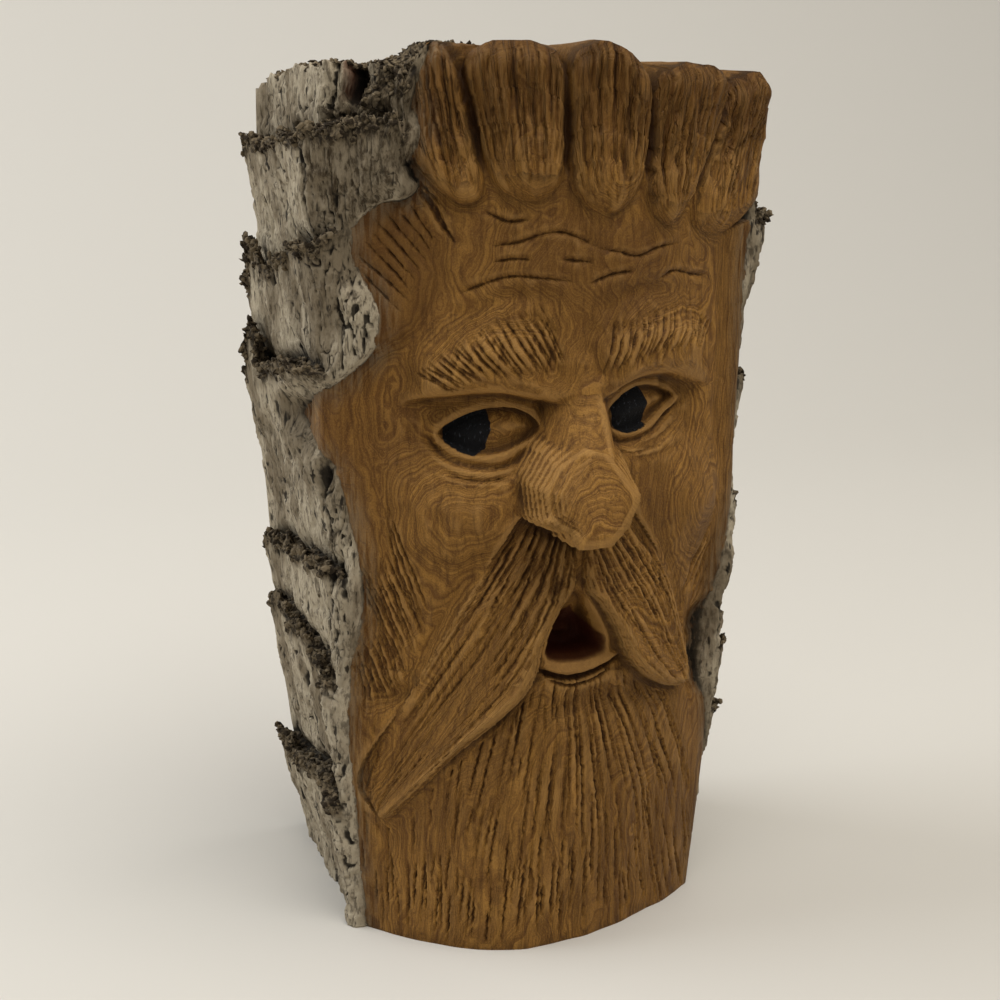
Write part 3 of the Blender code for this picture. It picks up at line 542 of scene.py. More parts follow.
LOCK_ENDS = [198, 199, 195, 191, 187]
lock_mask = np.full_like(a, -12.0)
for number, (lock, guides) in enumerate(zip(HAIR_LOCKS, LOCK_GUIDES)):
    depth = inside(lock)
    lock_mask = np.maximum(lock_mask, depth)
    pillow = 1 - (1 - np.clip(depth / (5.5 if number == 0 else 8.0), 0, 1)) ** 2
    relief = lay(depth, LOCK_HEIGHT * pillow - LOCK_SET_BACK, 0.7)
    lanes = across_guides(guides)
    hair = ease(0.6, 2.2, depth)
    relief += hair * 1.5 * (noise(lanes * 1.9, z / 14, 121 + number) - 0.5)
    relief += hair * 0.9 * (noise(a / 2.6, z / 5, 131 + number) - 0.5)
    count, low = STRANDS_PER_LOCK[number], LOCK_ENDS[number]
    strands(guides, count, low + 9, 240, (14, 38), 1.5, 1.3, hair)
    strands(guides, 3 * count, low + 7, 236, (4, 14), 1.1, 0.9, hair)
    strands(guides, 2 * count, low + 3, low + 16, (3, 8), 0.8, 0.55, hair)
    carve_grooves()
    comb_over(lanes, 12.0, 400.0 + 40 * number, hair * ease(low + 4, low + 14, z))
for seam in (
    [(-33, 240), (-29, 220), (-26.5, 205)],
    [(-4.6, 240), (-4.3, 220), (-4.8, 207)],
    [(21.4, 240), (20.6, 220), (19.2, 204)],
    [(54, 240), (46, 214), (38.5, 198)],
):
    cut(seam, 3.2, 2.8, None, 0.45)
carve_grooves()
ROUNDED_OVER, ROUNDING, FLAT_STEP = 5.5, 0.10, 0.3
near_top = np.clip(z - (PLAN_TOP - ROUNDED_OVER) + 1.6 * (noise(a / 5, 0 * a, 52) - 0.5), 0, 6)
relief -= ROUNDING * near_top**2 * ease(-46, -40, a) * ease(82, 76, a)
flats = np.floor(3.1 * noise(a / 7, z / 11, 54)) * FLAT_STEP
relief -= flats * ease(0, 3, lock_mask) * ease(206, 218, z)

# The temple
# A flat patch of hair beside the forehead, level with the bark and falling softly away from it.
TEMPLE = [
    (-66, 188), (-61, 198), (-52, 203), (-44, 199), (-37, 191), (-34, 182), (-37, 172), (-45, 163),
    (-57, 159), (-65, 176),
]
temple = inside(TEMPLE)
relief = lay(temple, 0.3 - 0.19 * np.clip(a + 60, 0, 30), 5.0)

# How much darker and redder the wood is: most at the tops of the locks, less at the temple and the forehead.
HAIR_SMOKE, TEMPLE_SMOKE, FOREHEAD_SMOKE = 0.62, 0.5, 0.34
smoke = np.maximum(HAIR_SMOKE * ease(-1, 2, lock_mask) * ease(200, 222, z), TEMPLE_SMOKE * ease(0, 4, temple))
smoke = np.maximum(smoke, mound(0, 186, 42, 13, FOREHEAD_SMOKE) * ease(2, -1, lock_mask))

# The knife strokes
# Single cuts: the slanting strokes of the temple, the tufts of the brows, the whiskers at the sides of the
# face and the creases of the forehead.
BARK_EDGES = {
    "left": [
        (-36, 240), (-41, 231), (-43.5, 226), (-41, 217), (-45, 209), (-42.5, 203), (-46, 199),
        (-53, 197.5), (-60, 190), (-59.5, 184), (-57, 179), (-53, 171), (-54, 165), (-55.5, 160),
        (-64, 152.5), (-75, 147), (-84, 142), (-80, 138.5), (-71, 134), (-65, 128), (-62, 118),
        (-59.5, 106), (-58.5, 95), (-60, 84), (-62.5, 74), (-63, 64), (-62, 50), (-60.5, 38), (-60, 28),
        (-59, 14), (-57, -4),
    ],
    "right": [
        (76, 240), (73, 215), (68, 200), (64, 188), (63, 170), (64, 150), (65, 130), (63, 110), (60, 95),
        (57, 84), (55, 72), (55, 60), (56, 48), (56, 36), (54, 18), (52, -4),
    ],
}
STROKES = {
    "temple": (0.9, 1.2, 8, [
        [(-59.5, 183), (-47, 171)], [(-57, 190), (-44, 176)], [(-52, 196), (-41, 183)],
        [(-47, 199), (-38, 188)],
    ]),
    "side lock": (1.6, 1.6, 6, [
        [(-47, 208), (-38, 197)], [(-45, 203), (-36, 191)], [(-41, 199), (-34, 188)],
    ]),
    "left brow": (1.15, 1.25, 25, [
        [(-44, 156), (-33, 150.8)], [(-34, 163), (-26, 155.5)], [(-22, 170.5), (-11, 155.5)],
        [(-11, 171), (-4, 157)],
    ]),
    "left brow tips": (0.8, 0.7, 14, [
        [(-33, 164), (-28, 160)], [(-22, 171), (-16, 164)], [(-12, 173), (-7, 165)],
    ]),
    "right brow": (1.1, 1.25, 26, [
        [(6, 155), (10, 168)], [(15, 156), (21, 170)], [(23, 157), (33, 171)], [(35, 160), (43, 168)],
        [(42, 157), (51, 163)],
    ]),
    "left whiskers": (1.2, 1.1, 13, [
        [(-62, 105), (-53, 84)], [(-57, 104), (-46, 80)], [(-53, 110), (-42, 83)],
        [(-52, 122), (-41, 92)],
    ]),
    "left sideburn": (1.2, 1.1, 14, [
        [(-63, 90), (-58, 62)], [(-59, 84), (-52, 66)], [(-55, 90), (-46, 74)],
    ]),
    "right whiskers": (1.2, 1.0, 12, [
        [(42, 90), (49, 101)], [(46, 97), (55, 110)], [(48, 80), (57, 92)],
    ]),
}
edge_gaps = {}
for side, edge in BARK_EDGES.items():
    line = rounded(edge)
    gap = distance(line)[0]
    sign = -1 if side == "left" else 1
    beyond = sign * (a - np.interp(z, line[::-1, 1], line[::-1, 0])) > 0
    edge_gaps[side] = np.where(beyond, gap, -gap)
in_bark = np.maximum(edge_gaps["left"], edge_gaps["right"])
carved = ease(0.3, -0.8, in_bark)
for width, deep, count, ends in STROKES.values():
    ends = np.array(ends, float)
    for share in np.linspace(0, len(ends) - 1, count):
        i = min(int(share), len(ends) - 2)
        start, end = ends[i] + (ends[i + 1] - ends[i]) * (share - i) + draw.uniform(-0.8, 0.8, (2, 2))
        bend = draw.uniform(-0.5, 0.5, 2)
        cut([start, (start + end) / 2 + bend, end], width * draw.uniform(0.7, 1.2), deep, carved, 0.3)
for crease in (
    [(-25, 187.5), (-18, 188.3), (-11, 190.5), (-5, 190.5), (4, 186.7)],
    [(3.5, 186.6), (10, 185.4), (16, 184), (24, 185.6), (32, 186)],
    [(-24, 183.6), (-19, 184.4), (-14, 184.2)],
    [(-6, 184.2), (-2, 183.8), (2, 183.3)],
    [(-33, 175.5), (-27, 178), (-20, 180), (-12, 179.7), (-3, 178.7)],
    [(1, 178), (8, 180), (15, 180.3)],
    [(24, 177.6), (30, 179), (38, 177.4), (46, 176)],
    [(-26, 196), (-20, 193.5), (-14, 194)],
):
    cut(crease, 1.1, 1.0, carved, 0.2)
    ridge(np.array(crease) + (0, 1.5), 0.9, 0.22)
carve_grooves()
for fold in (
    [(-34, 166), (-26, 172), (-15, 175.5), (-6, 172)],
    [(4, 170), (14, 174.5), (27, 174.5), (40, 171)],
    [(-17, 120), (-27, 107), (-37, 92), (-45, 77), (-52, 63), (-59, 49)],
    [(19, 119.5), (28, 110), (36, 98), (42, 86), (46, 75)],
):
    ridge(fold, 2.2, -0.9, 0.3)

# The bark
# Natural bark at both sides: upside-down shingles with crumbly lips, thin grey skin full of slits and pits,
# and a crack that opens at the top of the left side.
BARK_SET_BACK = 1.6
CRUST_HEIGHT = 3.0
LEDGES = {
    "left": [
        ([(-54, 220), (-61, 222), (-69, 218), (-105, 214), (-136, 209)], 6.0, 2.5),
        ([(-50, 198), (-61, 192), (-69, 188), (-100, 178), (-136, 167)], 5.0, 12.0),
        ([(-64, 152), (-69, 157), (-101, 152), (-136, 142)], 6.5, 13.0),
        ([(-66, 103), (-81, 102), (-112, 98), (-136, 91)], 3.0, 2.0),
        ([(-72, 70), (-80, 74), (-100, 78), (-121, 78), (-136, 73)], 4.0, 3.0),
        ([(-56, 28), (-59, 32), (-68, 43), (-113, 33), (-136, 31)], 5.5, 5.0),
    ],
    "right": [
        ([(64, 188), (95, 195), (130, 203)], 6.5, 3.0),
        ([(64, 147), (95, 150), (130, 156)], 3.5, 2.0),
        ([(61, 113), (95, 118), (130, 122)], 3.5, 2.0),
        ([(56, 72), (95, 80), (130, 84)], 1.5, 2.0),
        ([(54, 50), (95, 56), (130, 60)], 4.0, 3.0),
    ],
}
HORN_A, HORN_WIDTH = -127, 6.5
# The outline of the front facet at the top of the left side: fine lines are cut into it, and the finish
# darkens it with painted shade.
SHADE_PAINTED_FACET = [
    (-63, 228), (-52, 231), (-43, 229), (-42, 215), (-47, 204), (-51, 198.5), (-58, 195), (-66, 197),
    (-70, 212),
]
plane = inside(SHADE_PAINTED_FACET)
crust = np.zeros_like(a)
pits = np.zeros_like(a)
for side, ledges in LEDGES.items():
    below = np.full(a.shape, 1e9)
    above = np.full(a.shape, 1e9)
    rise = np.zeros(a.shape)
    raised = np.zeros(a.shape)
    from_edge = edge_gaps[side]
    for edge_points, out, horn in ledges:
        path = np.array(sorted(edge_points))
        top = np.interp(a, path[:, 0], path[:, 1]) + 3.0 * (noise(a / 6, 0 * a + out, 5) - 0.5)
        top += 2.2 * (noise(a / 1.9, 0 * a + out, 15) - 0.5) + 1.0 * (noise(a / 0.8, 0 * a + out, 14) - 0.5)
        drop = top - z
        under = (drop > 0) & (drop < below)
        below[under] = drop[under]
        above = np.minimum(above, np.where(drop <= 0, -drop, 1e9))
        at_horn = np.clip(1.25 - np.abs(a - HORN_A - out) / HORN_WIDTH, 0, 1) if side == "left" else 0
        at_horn = at_horn * (0.8 + 0.4 * noise(a / 1.2, 0 * a + out, 53))
        fall = np.exp(-((np.abs(drop) / 26) ** 1.5))
        step = 0.5 * ease(0, 0.9, drop) + 0.5 * ease(1.2, 1.8, drop)
        rise[under] = ((out * fall + 0.1 * horn * at_horn) * step)[under]
        lip = 0.8 + 3.4 * noise(a / 3.1, 0 * a + out, 16) + horn * at_horn
        raised[under] = (lip * np.exp(-((np.abs(drop - 1.8) / 5) ** 2)) * ease(1.1, 1.8, drop))[under]
    share = ease(0, 1.6, from_edge)
    far_in = ease(0.5, 6, from_edge)
    lump = noise(a / 2.2, z / 2.2, 6) - 0.35 + 0.9 * (noise(a / 0.9, z / 0.9, 17) - 0.5)
    rough = np.exp(-((below / 4.5) ** 2)) * far_in
    skin = a / 2.0 + 0.9 * noise(a / 5, z / 9, 18)
    slit = noise(skin, z / 11, 19)
    slit = np.clip(1 - np.abs(slit - 0.5) / 0.045, 0, 1) * ease(0.42, 0.62, noise(a / 7, z / 10, 20))
    network = noise(a / 0.75, z / 3.6, 30)
    network = np.clip(1 - np.abs(network - 0.5) / 0.10, 0, 1) * ease(17, 4, from_edge) * ease(0, 3, from_edge)
    pit = ease(0.74, 0.84, noise(a / 0.8, z / 2.2, 21)) * ease(0.45, 0.62, noise(a / 6, z / 8, 22))
    flake = ease(0.50, 0.52, noise(a / 6, z / 10, 23)) + ease(0.56, 0.58, noise(a / 3.4, z / 6, 24))
    surface = 0.3 - (BARK_SET_BACK + 0.3) * ease(2, 14, from_edge)
    surface += 1.6 * (noise(a / 9, z / 14, 3) - 0.5) + 1.0 * (noise(a / 3, z / 5, 4) - 0.5)
    surface += 0.45 * flake - 0.9 * slit - 0.7 * pit - 0.5 * network
    surface += 0.3 * (noise(a / 0.7, z / 0.9, 25) - 0.5)
    surface += rise * far_in + CRUST_HEIGHT * rough * lump
    surface -= 2.4 * np.exp(-((above / 3.5) ** 2)) * far_in * ease(2, 8, from_edge)
    surface -= 0.7 * np.clip(1 - np.abs(noise(a / 1.1, z / 14, 33) - 0.5) / 0.13, 0, 1) * ease(0, 2, plane)
    relief = lay(from_edge, surface, 1.2)
    lift += share * raised * far_in
    crust = np.maximum(crust, share * rough * (0.6 + 0.8 * (lump + 0.2)))
    pits = np.maximum(pits, share * np.maximum(np.maximum(slit, pit), 0.8 * network))

KNOTS = [
    (-69.5, 126.5, 2.6, 4.8, 5.0), (-65, 101, 1.7, 4.2, 3.5), (-80, 143, 1.6, 3.0, 1.8),
    (-104, 138, 1.4, 3.6, 1.6), (-96, 62, 1.6, 3.2, 1.5), (-71, 122, 1.5, 3.4, 3.0),
    (-67, 92, 1.5, 3.0, 2.0), (-112, 74, 1.2, 2.4, 1.2),
]
for at_a, at_z, across, up, deep in KNOTS:
    ragged = 1 + 0.7 * (noise(a / 1.3, z / 1.3, 34) - 0.5)
    hole = np.exp(-((((a - at_a - 0.25 * (z - at_z)) / across) ** 2) + ((z - at_z) / up) ** 2) * ragged)
    relief -= deep * hole
    pits = np.maximum(pits, ease(0.25, 0.7, hole))
CRACK_A, CRACK_FOOT, CRACK_DEPTH, CRACK_HALF_WIDTH = -60, 221, 11, 3.4
wander = CRACK_A + 3 * (noise(z / 8, 0 * z, 9) - 0.5)
open_crack = np.exp(-(((a - wander) / CRACK_HALF_WIDTH) ** 2)) * ease(CRACK_FOOT, CRACK_FOOT + 10, z)
relief -= CRACK_DEPTH * open_crack
relief += 5.0 * np.clip(1 - np.abs(a + 62.5 - 0.12 * (z - 226)) / 1.8, 0, 1) * ease(CRACK_FOOT, 228, z)
for split in (
    ([(-71, 214), (-69.5, 206), (-71, 198), (-70, 190)], 1.8, 2.4),
    ([(-76, 186), (-75, 178), (-76.5, 168), (-75, 160)], 1.4, 1.8),
    ([(-67, 112), (-68, 104), (-66, 97), (-67, 90)], 1.6, 2.0),
    ([(-66, 88), (-67, 76), (-66, 64)], 1.0, 1.2),
):
    cut(*split, ease(0, 2, edge_gaps["left"]), 0.2)
pits = np.maximum(pits, ease(0.3, 1.2, grooves))
carve_grooves()


def evened(values, reach):
    """The values evened out over their neighbours, reach points to each side."""
    for axis in (0, 1, 0, 1):
        wide = np.moveaxis(values, axis, 0)
        wide = np.concatenate([wide[:1]] * (reach + 1) + [wide] + [wide[-1:]] * reach)
        total = np.cumsum(wide, axis=0)
        values = np.moveaxis((total[2 * reach + 1 :] - total[: -2 * reach - 1]) / (2 * reach + 1), 0, axis)
    return values


CRUMBLY = ((-48, 234, 5, 5), (-61, 219, 6, 3.5), (-54, 226, 3, 6))
for at_a, at_z, across, up in CRUMBLY:
    crumbly = mound(at_a, at_z, across, up, 1.0) * ease(-0.5, 1.5, edge_gaps["left"])
    relief += 4.0 * crumbly * (noise(a / 2.4, z / 2.4, 55) + 0.5 * noise(a / 1.1, z / 1.1, 56) - 0.5)
    crust = np.maximum(crust, crumbly)
# How far the surface lies below its evened-out self: from these the finish paints shade in the grooves and
# hollows and a highlight on the ridges.
cavity = evened(relief, 4) - relief
hollow = evened(relief, 16) - relief
smooth = evened(relief, 5)
slope = np.hypot(np.gradient(smooth, rows, axis=0), np.gradient(smooth, front, axis=1))
calm = 1 / (1 + 1.2 * evened(slope, 5))
layer = evened(np.where(nose > bare_face, bare_face, relief), 5) * calm
nose_layer = 0.4 * (front_flat - 9) + 0.04 * np.maximum(kite, -10)
nose_layer -= 0.02 * (np.clip(a, -10, 9) + 1) ** 2
layer += (nose_layer - layer) * ease(-2, 7, nose) * ease(113, 115, z)
layer += 0.11 * a

# The body of the slab
# The plan is rolled back round the slab, and the sawn foot and top close it. The facets are thinned where
# the surface is plain, and the piece stands in for the plainer carving.
TOP_X = [-60, -44, -36, -30, -24, 18, 27, 45, 75]
TOP_DROP = [5.5, 4.5, 5, 3, -1.2, -0.8, 3.5, 5, 7]
SIDE_Y = [-25, -10, 10, 30, 42]
SIDE_DROP = [4.5, 6, 8, 11, 15]
REAR_X = [-44, -20, 4, 24]
REAR_DROP = [7, 8, 4, 0]
LOCK_SEAMS = (-32.5, -4.5, 21.3, 52)
LOCK_ARCS = (-45, -32.5, -4.5, 21.3, 52, 84)
ARC_DEPTH, SEAM_DEPTH, SEAM_HALF_WIDTH = 3.8, 3.6, 2.4
FALL_FROM, FALL = -42, 0.10
CAP_MIDDLE = np.array([10.0, -5.0])
CAP_RINGS = 34
BACK_WIDTH = 110
MOST_TRIANGLES = 196000
LEVELLED_BELOW = 0.0002


def crown(x, y):
    """The height of the sawn top at a point: falling to the right and the back, and broken at the left."""
    drop = np.interp(x, TOP_X, TOP_DROP)
    drop = drop + FALL * np.clip(y - FALL_FROM, 0, 100)
    side = ease(-26, -44, x)
    rear = ease(-22, 2, y) * np.interp(x, REAR_X, REAR_DROP)
    drop = drop + (1 - side) * rear + side * (np.interp(y, SIDE_Y, SIDE_DROP) - drop)
    broken = ease(-22, -30, x)
    crumble = 2.6 * (noise(x / 2.6, y / 2.6, 26) - 0.5) + 1.2 * (noise(x / 1.1, y / 1.1, 27) - 0.5)
    sawn = 0.25 * (noise(x / 1.3, y / 9, 28) - 0.5)
    return PLAN_TOP - drop + broken * crumble + (1 - broken) * sawn


def notches(at):
    """How far the top's front edge is below the sawn top: each lock is an arc, with a V cut at each seam."""
    down = sum(SEAM_DEPTH * np.clip(1 - np.abs(at - seam) / SEAM_HALF_WIDTH, 0, 1) for seam in LOCK_SEAMS)
    for low, high in zip(LOCK_ARCS, LOCK_ARCS[1:]):
        place = np.clip(2 * (at - low) / (high - low) - 1, -1, 1)
        down = down + ARC_DEPTH * np.clip((np.abs(place) - 0.35) / 0.65, 0, 1) * ((at >= low) & (at < high))
    return down


back_count = int(BACK_WIDTH / BACK_STEP)
rings = []
for row, level in enumerate(rows):
    curve = outline(level)
    loop = np.vstack([curve, curve[:1]])
    way = np.r_[0, np.cumsum(np.hypot(*np.diff(loop, axis=0).T))]
    back = np.linspace(LAST_COLUMN, way[-1] + FIRST_COLUMN, back_count + 2)[1:-1]
    at = np.r_[front, back]
    behind, point, ahead = (
        np.array([np.interp((at + shift) % way[-1], way, loop[:, k]) for k in (0, 1)]) for shift in (-4, 0, 4)
    )
    along = ahead - behind
    out = np.array([along[1], -along[0]]) / np.hypot(*along)
    fade = ease(BACK_Y, BACK_Y - 6, point[1])
    fibre = 0.5 * (noise(at / 3.0, level / 30 + 0 * at, 29) - 0.5)
    push = np.r_[relief[row], fibre[len(front):]] * np.r_[fade[: len(front)], np.ones(back_count)]
    raise_by = np.r_[lift[row], np.zeros(back_count)] * fade
    point = point + out * push
    top = crown(point[0], point[1]) - notches(at)
    height = level + raise_by + (top - PLAN_TOP) * ease(PLAN_TOP - 46, PLAN_TOP, level)
    rings.append(np.stack([point[0], point[1], np.minimum(height, top)], axis=1))
rings = np.array(rings)

all_columns = np.r_[front, np.full(back_count, LAST_COLUMN)]
seams = notches(all_columns)
rim = rings[-1]
shares = np.linspace(1, 0.04, CAP_RINGS + 1)[1:] ** 1.25
caps = []
for share in shares:
    flat = CAP_MIDDLE + (rim[:, :2] - CAP_MIDDLE) * share
    caps.append(np.column_stack([flat, crown(flat[:, 0], flat[:, 1]) - seams * share**4]))
rings = np.vstack([rings, np.array(caps)])
rings[:, :, 2] -= PLAN_FOOT
rings *= MM

count = rings.shape[1]
points = rings.reshape(-1, 3)
foot_centre = np.array([[points[:count, 0].mean(), points[:count, 1].mean(), 0.0]])
points = np.vstack([points, foot_centre, points[-count:].mean(axis=0, keepdims=True)])
slab_centre = (points.min(axis=0) + points.max(axis=0))[:2] / 2
points[:, :2] -= slab_centre
index = np.arange(len(rings) * count).reshape(len(rings), count)
after = np.roll(index, -1, axis=1)
walls = np.stack([index[:-1], after[:-1], after[1:], index[1:]], axis=-1).reshape(-1, 4)
ends = np.full(count, len(points) - 2)
foot = np.stack([after[0], index[0], ends], axis=-1)
top = np.stack([index[-1], after[-1], ends + 1], axis=-1)
mesh = bpy.data.meshes.new("wood_spirit")
mesh.from_pydata(points.tolist(), [], walls.tolist() + foot.tolist() + top.tolist())


def ringed(values, back_value, cap_values):
    """Values of the plan, carried on over the back, the top's rings and the two centres."""
    wide = np.hstack([values, np.full((len(rows), back_count), back_value)])
    caps = np.repeat(np.array(cap_values)[:, None], count, axis=1)
    return np.r_[np.vstack([wide, caps]).ravel(), np.mean(back_value), cap_values[-1]].astype(np.float32)


flat_caps = np.zeros(CAP_RINGS)
broken_top = np.tile(ease(-22, -30, rim[:, 0]), (CAP_RINGS, 1))
layers = {
    "bark": ringed(in_bark, -30.0, flat_caps - 30),
    "layer": ringed(layer, np.linspace(-25, 25, back_count), -45 * (1 - shares)),
    "pupil": ringed(pupil, -12.0, flat_caps - 12),
    "crust": ringed(crust, 0.0, flat_caps),
    "pits": ringed(pits, 0.0, flat_caps),
    "cavity": ringed(cavity, 0.0, flat_caps),
    "cuts": ringed(cuts * ease(0.5, -0.5, in_bark), 0.0, flat_caps),
    "red": ringed(open_crack, 0.0, flat_caps),
    "smoke": ringed(smoke, 0.0, flat_caps + 0.2),
    "flow": ringed(flow, 0.0, flat_caps),
    "comb": ringed(comb * ease(0.5, -0.5, in_bark), 0.0, flat_caps),
    "hollow": ringed(hollow, 0.0, flat_caps),
    "calm": ringed(calm, 1.0, flat_caps + 1),
    # Reaches over the mouth's lower wall, so that the painted shade inside the mouth covers it.
    "mouth": ringed(mouth - 4 * ease(85, 93, z), -12.0, flat_caps - 12),
    "plane": ringed(plane, -12.0, flat_caps - 12),
}
cap_points = slice(len(rows) * count, len(rings) * count)
layers["crust"][cap_points] = (broken_top * 0.8).ravel()
layers["bark"][cap_points] = (broken_top * 34 - 30).ravel()
for name, values in layers.items():
    mesh.attributes.new(name, "FLOAT", "POINT").data.foreach_set("value", values)
spirit = bpy.data.objects.new("wood_spirit", mesh)
bpy.context.scene.collection.objects.link(spirit)

thin = spirit.modifiers.new("thin", "DECIMATE")
thin.ratio = MOST_TRIANGLES / (2 * len(walls))
solid = bpy.data.meshes.new_from_object(spirit.evaluated_get(bpy.context.evaluated_depsgraph_get()))
spirit.modifiers.remove(thin)
spirit.data = solid
for vertex in solid.vertices:
    if vertex.co.z < LEVELLED_BELOW:
        vertex.co.z = 0.0
solid.shade_smooth()
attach(spirit, "root")
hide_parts("wood_spirit_carving")

# The finish
# Warm brown wood of the bark's inside, its thin growth layers showing as fine pale and dark lines, with
# painted shade in the knife cuts, the hollows and the deep mouth, a painted highlight on the ridges and
# painted glints among its dark flecks; grey weathered skin and black-brown crumbs outside, painted shade in
# the bark's hollows and on a facet at the top of the left side, and blue-black paint on the pupils.
finish = bpy.data.materials.new("carved_bark")
finish.use_nodes = True
tree = finish.node_tree
shader = tree.nodes["Principled BSDF"]


def feed(socket, value):
    """Links a value from another node, or sets it if it is a plain number or colour."""
    if isinstance(value, bpy.types.NodeSocket):
        tree.links.new(value, socket)
    else:
        socket.default_value = value


def attribute(name):
    """A value of the plan, as the surface carries it."""
    node = tree.nodes.new("ShaderNodeAttribute")
    node.attribute_name = name
    return node.outputs["Fac"]


def math(operation, first, second=0.0, third=0.0):
    """One sum of two or three values."""
    node = tree.nodes.new("ShaderNodeMath")
    node.operation = operation
    for socket, value in zip(node.inputs, (first, second, third)):
        feed(socket, value)
    return node.outputs[0]


def between_values(value, low, high, start=0.0, end=1.0):
    """A soft step from start to end, as a value goes from low to high."""
    node = tree.nodes.new("ShaderNodeMapRange")
    node.interpolation_type = "SMOOTHSTEP"
    for socket, given in zip(node.inputs, (value, low, high, start, end)):
        feed(socket, given)
    return node.outputs[0]


def mixed(share, first, second):
    """The first colour with a share of the second."""
    node = tree.nodes.new("ShaderNodeMix")
    node.data_type = "RGBA"
    feed(node.inputs["Factor"], share)
    feed(node.inputs["A"], first)
    feed(node.inputs["B"], second)
    return node.outputs["Result"]


def pattern(scale, stretch, detail=3.0, roughness=0.55, distortion=0.0):
    """Solid noise in object space, in cycles per metre along x, y and z."""
    mapping = tree.nodes.new("ShaderNodeMapping")
    mapping.inputs["Scale"].default_value = stretch
    tree.links.new(coordinates.outputs["Object"], mapping.inputs["Vector"])
    node = tree.nodes.new("ShaderNodeTexNoise")
    tree.links.new(mapping.outputs["Vector"], node.inputs["Vector"])
    node.inputs["Scale"].default_value = scale
    node.inputs["Detail"].default_value = detail
    node.inputs["Roughness"].default_value = roughness
    node.inputs["Distortion"].default_value = distortion
    return node.outputs["Fac"]


coordinates = tree.nodes.new("ShaderNodeTexCoord")
in_bark_mm = attribute("bark")
layer_mm = attribute("layer")
pupil_mm = attribute("pupil")
crust_share = attribute("crust")
pit_share = attribute("pits")
cavity_mm = attribute("cavity")
cut_shade_mm = attribute("cuts")
red_share = attribute("red")
smoke_share = attribute("smoke")
flow_mm = attribute("flow")
comb_share = attribute("comb")
hollow_mm = attribute("hollow")
mouth_mm = attribute("mouth")
calm_share = attribute("calm")
plane_mm = attribute("plane")

# Painted highlight for the ridges.
PAINTED_RIDGE_HIGHLIGHT = (0.480, 0.262, 0.078, 1)
LIGHT_WOOD = (0.355, 0.177, 0.036, 1)
MIDDLE_WOOD = (0.156, 0.067, 0.012, 1)
DARK_WOOD = (0.076, 0.028, 0.004, 1)
# Painted shade for the grooves, the hollows and the knife cuts.
PAINTED_GROOVE_SHADE = (0.040, 0.014, 0.002, 1)
SMOKED_WOOD = (0.085, 0.033, 0.003, 1)
# Painted shade for the inside of the deep mouth.
PAINTED_MOUTH_SHADE = (0.040, 0.005, 0.0006, 1)
PALE_BARK = (0.440, 0.372, 0.265, 1)
GREY_BARK = (0.215, 0.170, 0.110, 1)
DARK_BARK = (0.060, 0.045, 0.028, 1)
# Painted shade for the facet at the top of the left side.
PAINTED_FACET_SHADE = (0.052, 0.035, 0.018, 1)
RED_BARK = (0.085, 0.026, 0.010, 1)
CRUST_DARK = (0.028, 0.020, 0.012, 1)
CRUST_PALE = (0.170, 0.130, 0.080, 1)
# The near black of the bark's pits and slits, also used as painted shade in its hollows.
PIT_AND_SHADE_BLACK = (0.012, 0.009, 0.006, 1)
PAINT_BLACK = (0.0025, 0.0025, 0.0032, 1)
PAINT_FLECK = (0.050, 0.054, 0.066, 1)

RING_SWAY, RINGS_PER_MM = 14.0, 4.4
sway = pattern(45, (1, 1, 0.7), 3)
lines = tree.nodes.new("ShaderNodeTexNoise")
lines.noise_dimensions = "1D"
ring_place = math("MULTIPLY_ADD", sway, RING_SWAY, math("MULTIPLY", layer_mm, RINGS_PER_MM))
tree.links.new(ring_place, lines.inputs["W"])
lines.inputs["Scale"].default_value = 1.0
lines.inputs["Detail"].default_value = 4.0
lines.inputs["Roughness"].default_value = 0.7
growth = lines.outputs["Fac"]

combed = tree.nodes.new("ShaderNodeCombineXYZ")
tree.links.new(flow_mm, combed.inputs["X"])
apart = tree.nodes.new("ShaderNodeSeparateXYZ")
tree.links.new(coordinates.outputs["Object"], apart.inputs["Vector"])
feed(combed.inputs["Y"], math("MULTIPLY", apart.outputs["Z"], 42.0))
threads = tree.nodes.new("ShaderNodeTexNoise")
threads.noise_dimensions = "2D"
tree.links.new(combed.outputs["Vector"], threads.inputs["Vector"])
threads.inputs["Scale"].default_value = 0.75
threads.inputs["Detail"].default_value = 3.0
threads.inputs["Roughness"].default_value = 0.62
hair_lines = math("MULTIPLY", comb_share, between_values(threads.outputs["Fac"], 0.50, 0.36))

fibres = pattern(900, (1, 1, 0.09), 4, 0.6)
blotches = pattern(38, (1, 1, 0.5), 3)
flecks = pattern(1500, (1, 1, 0.3), 2, 0.6)
# Fine noise for the wood's own dark flecks and for pale specks that are painted glints.
fleck_and_glint_noise = pattern(3200, (1, 1, 0.7), 2, 0.6)

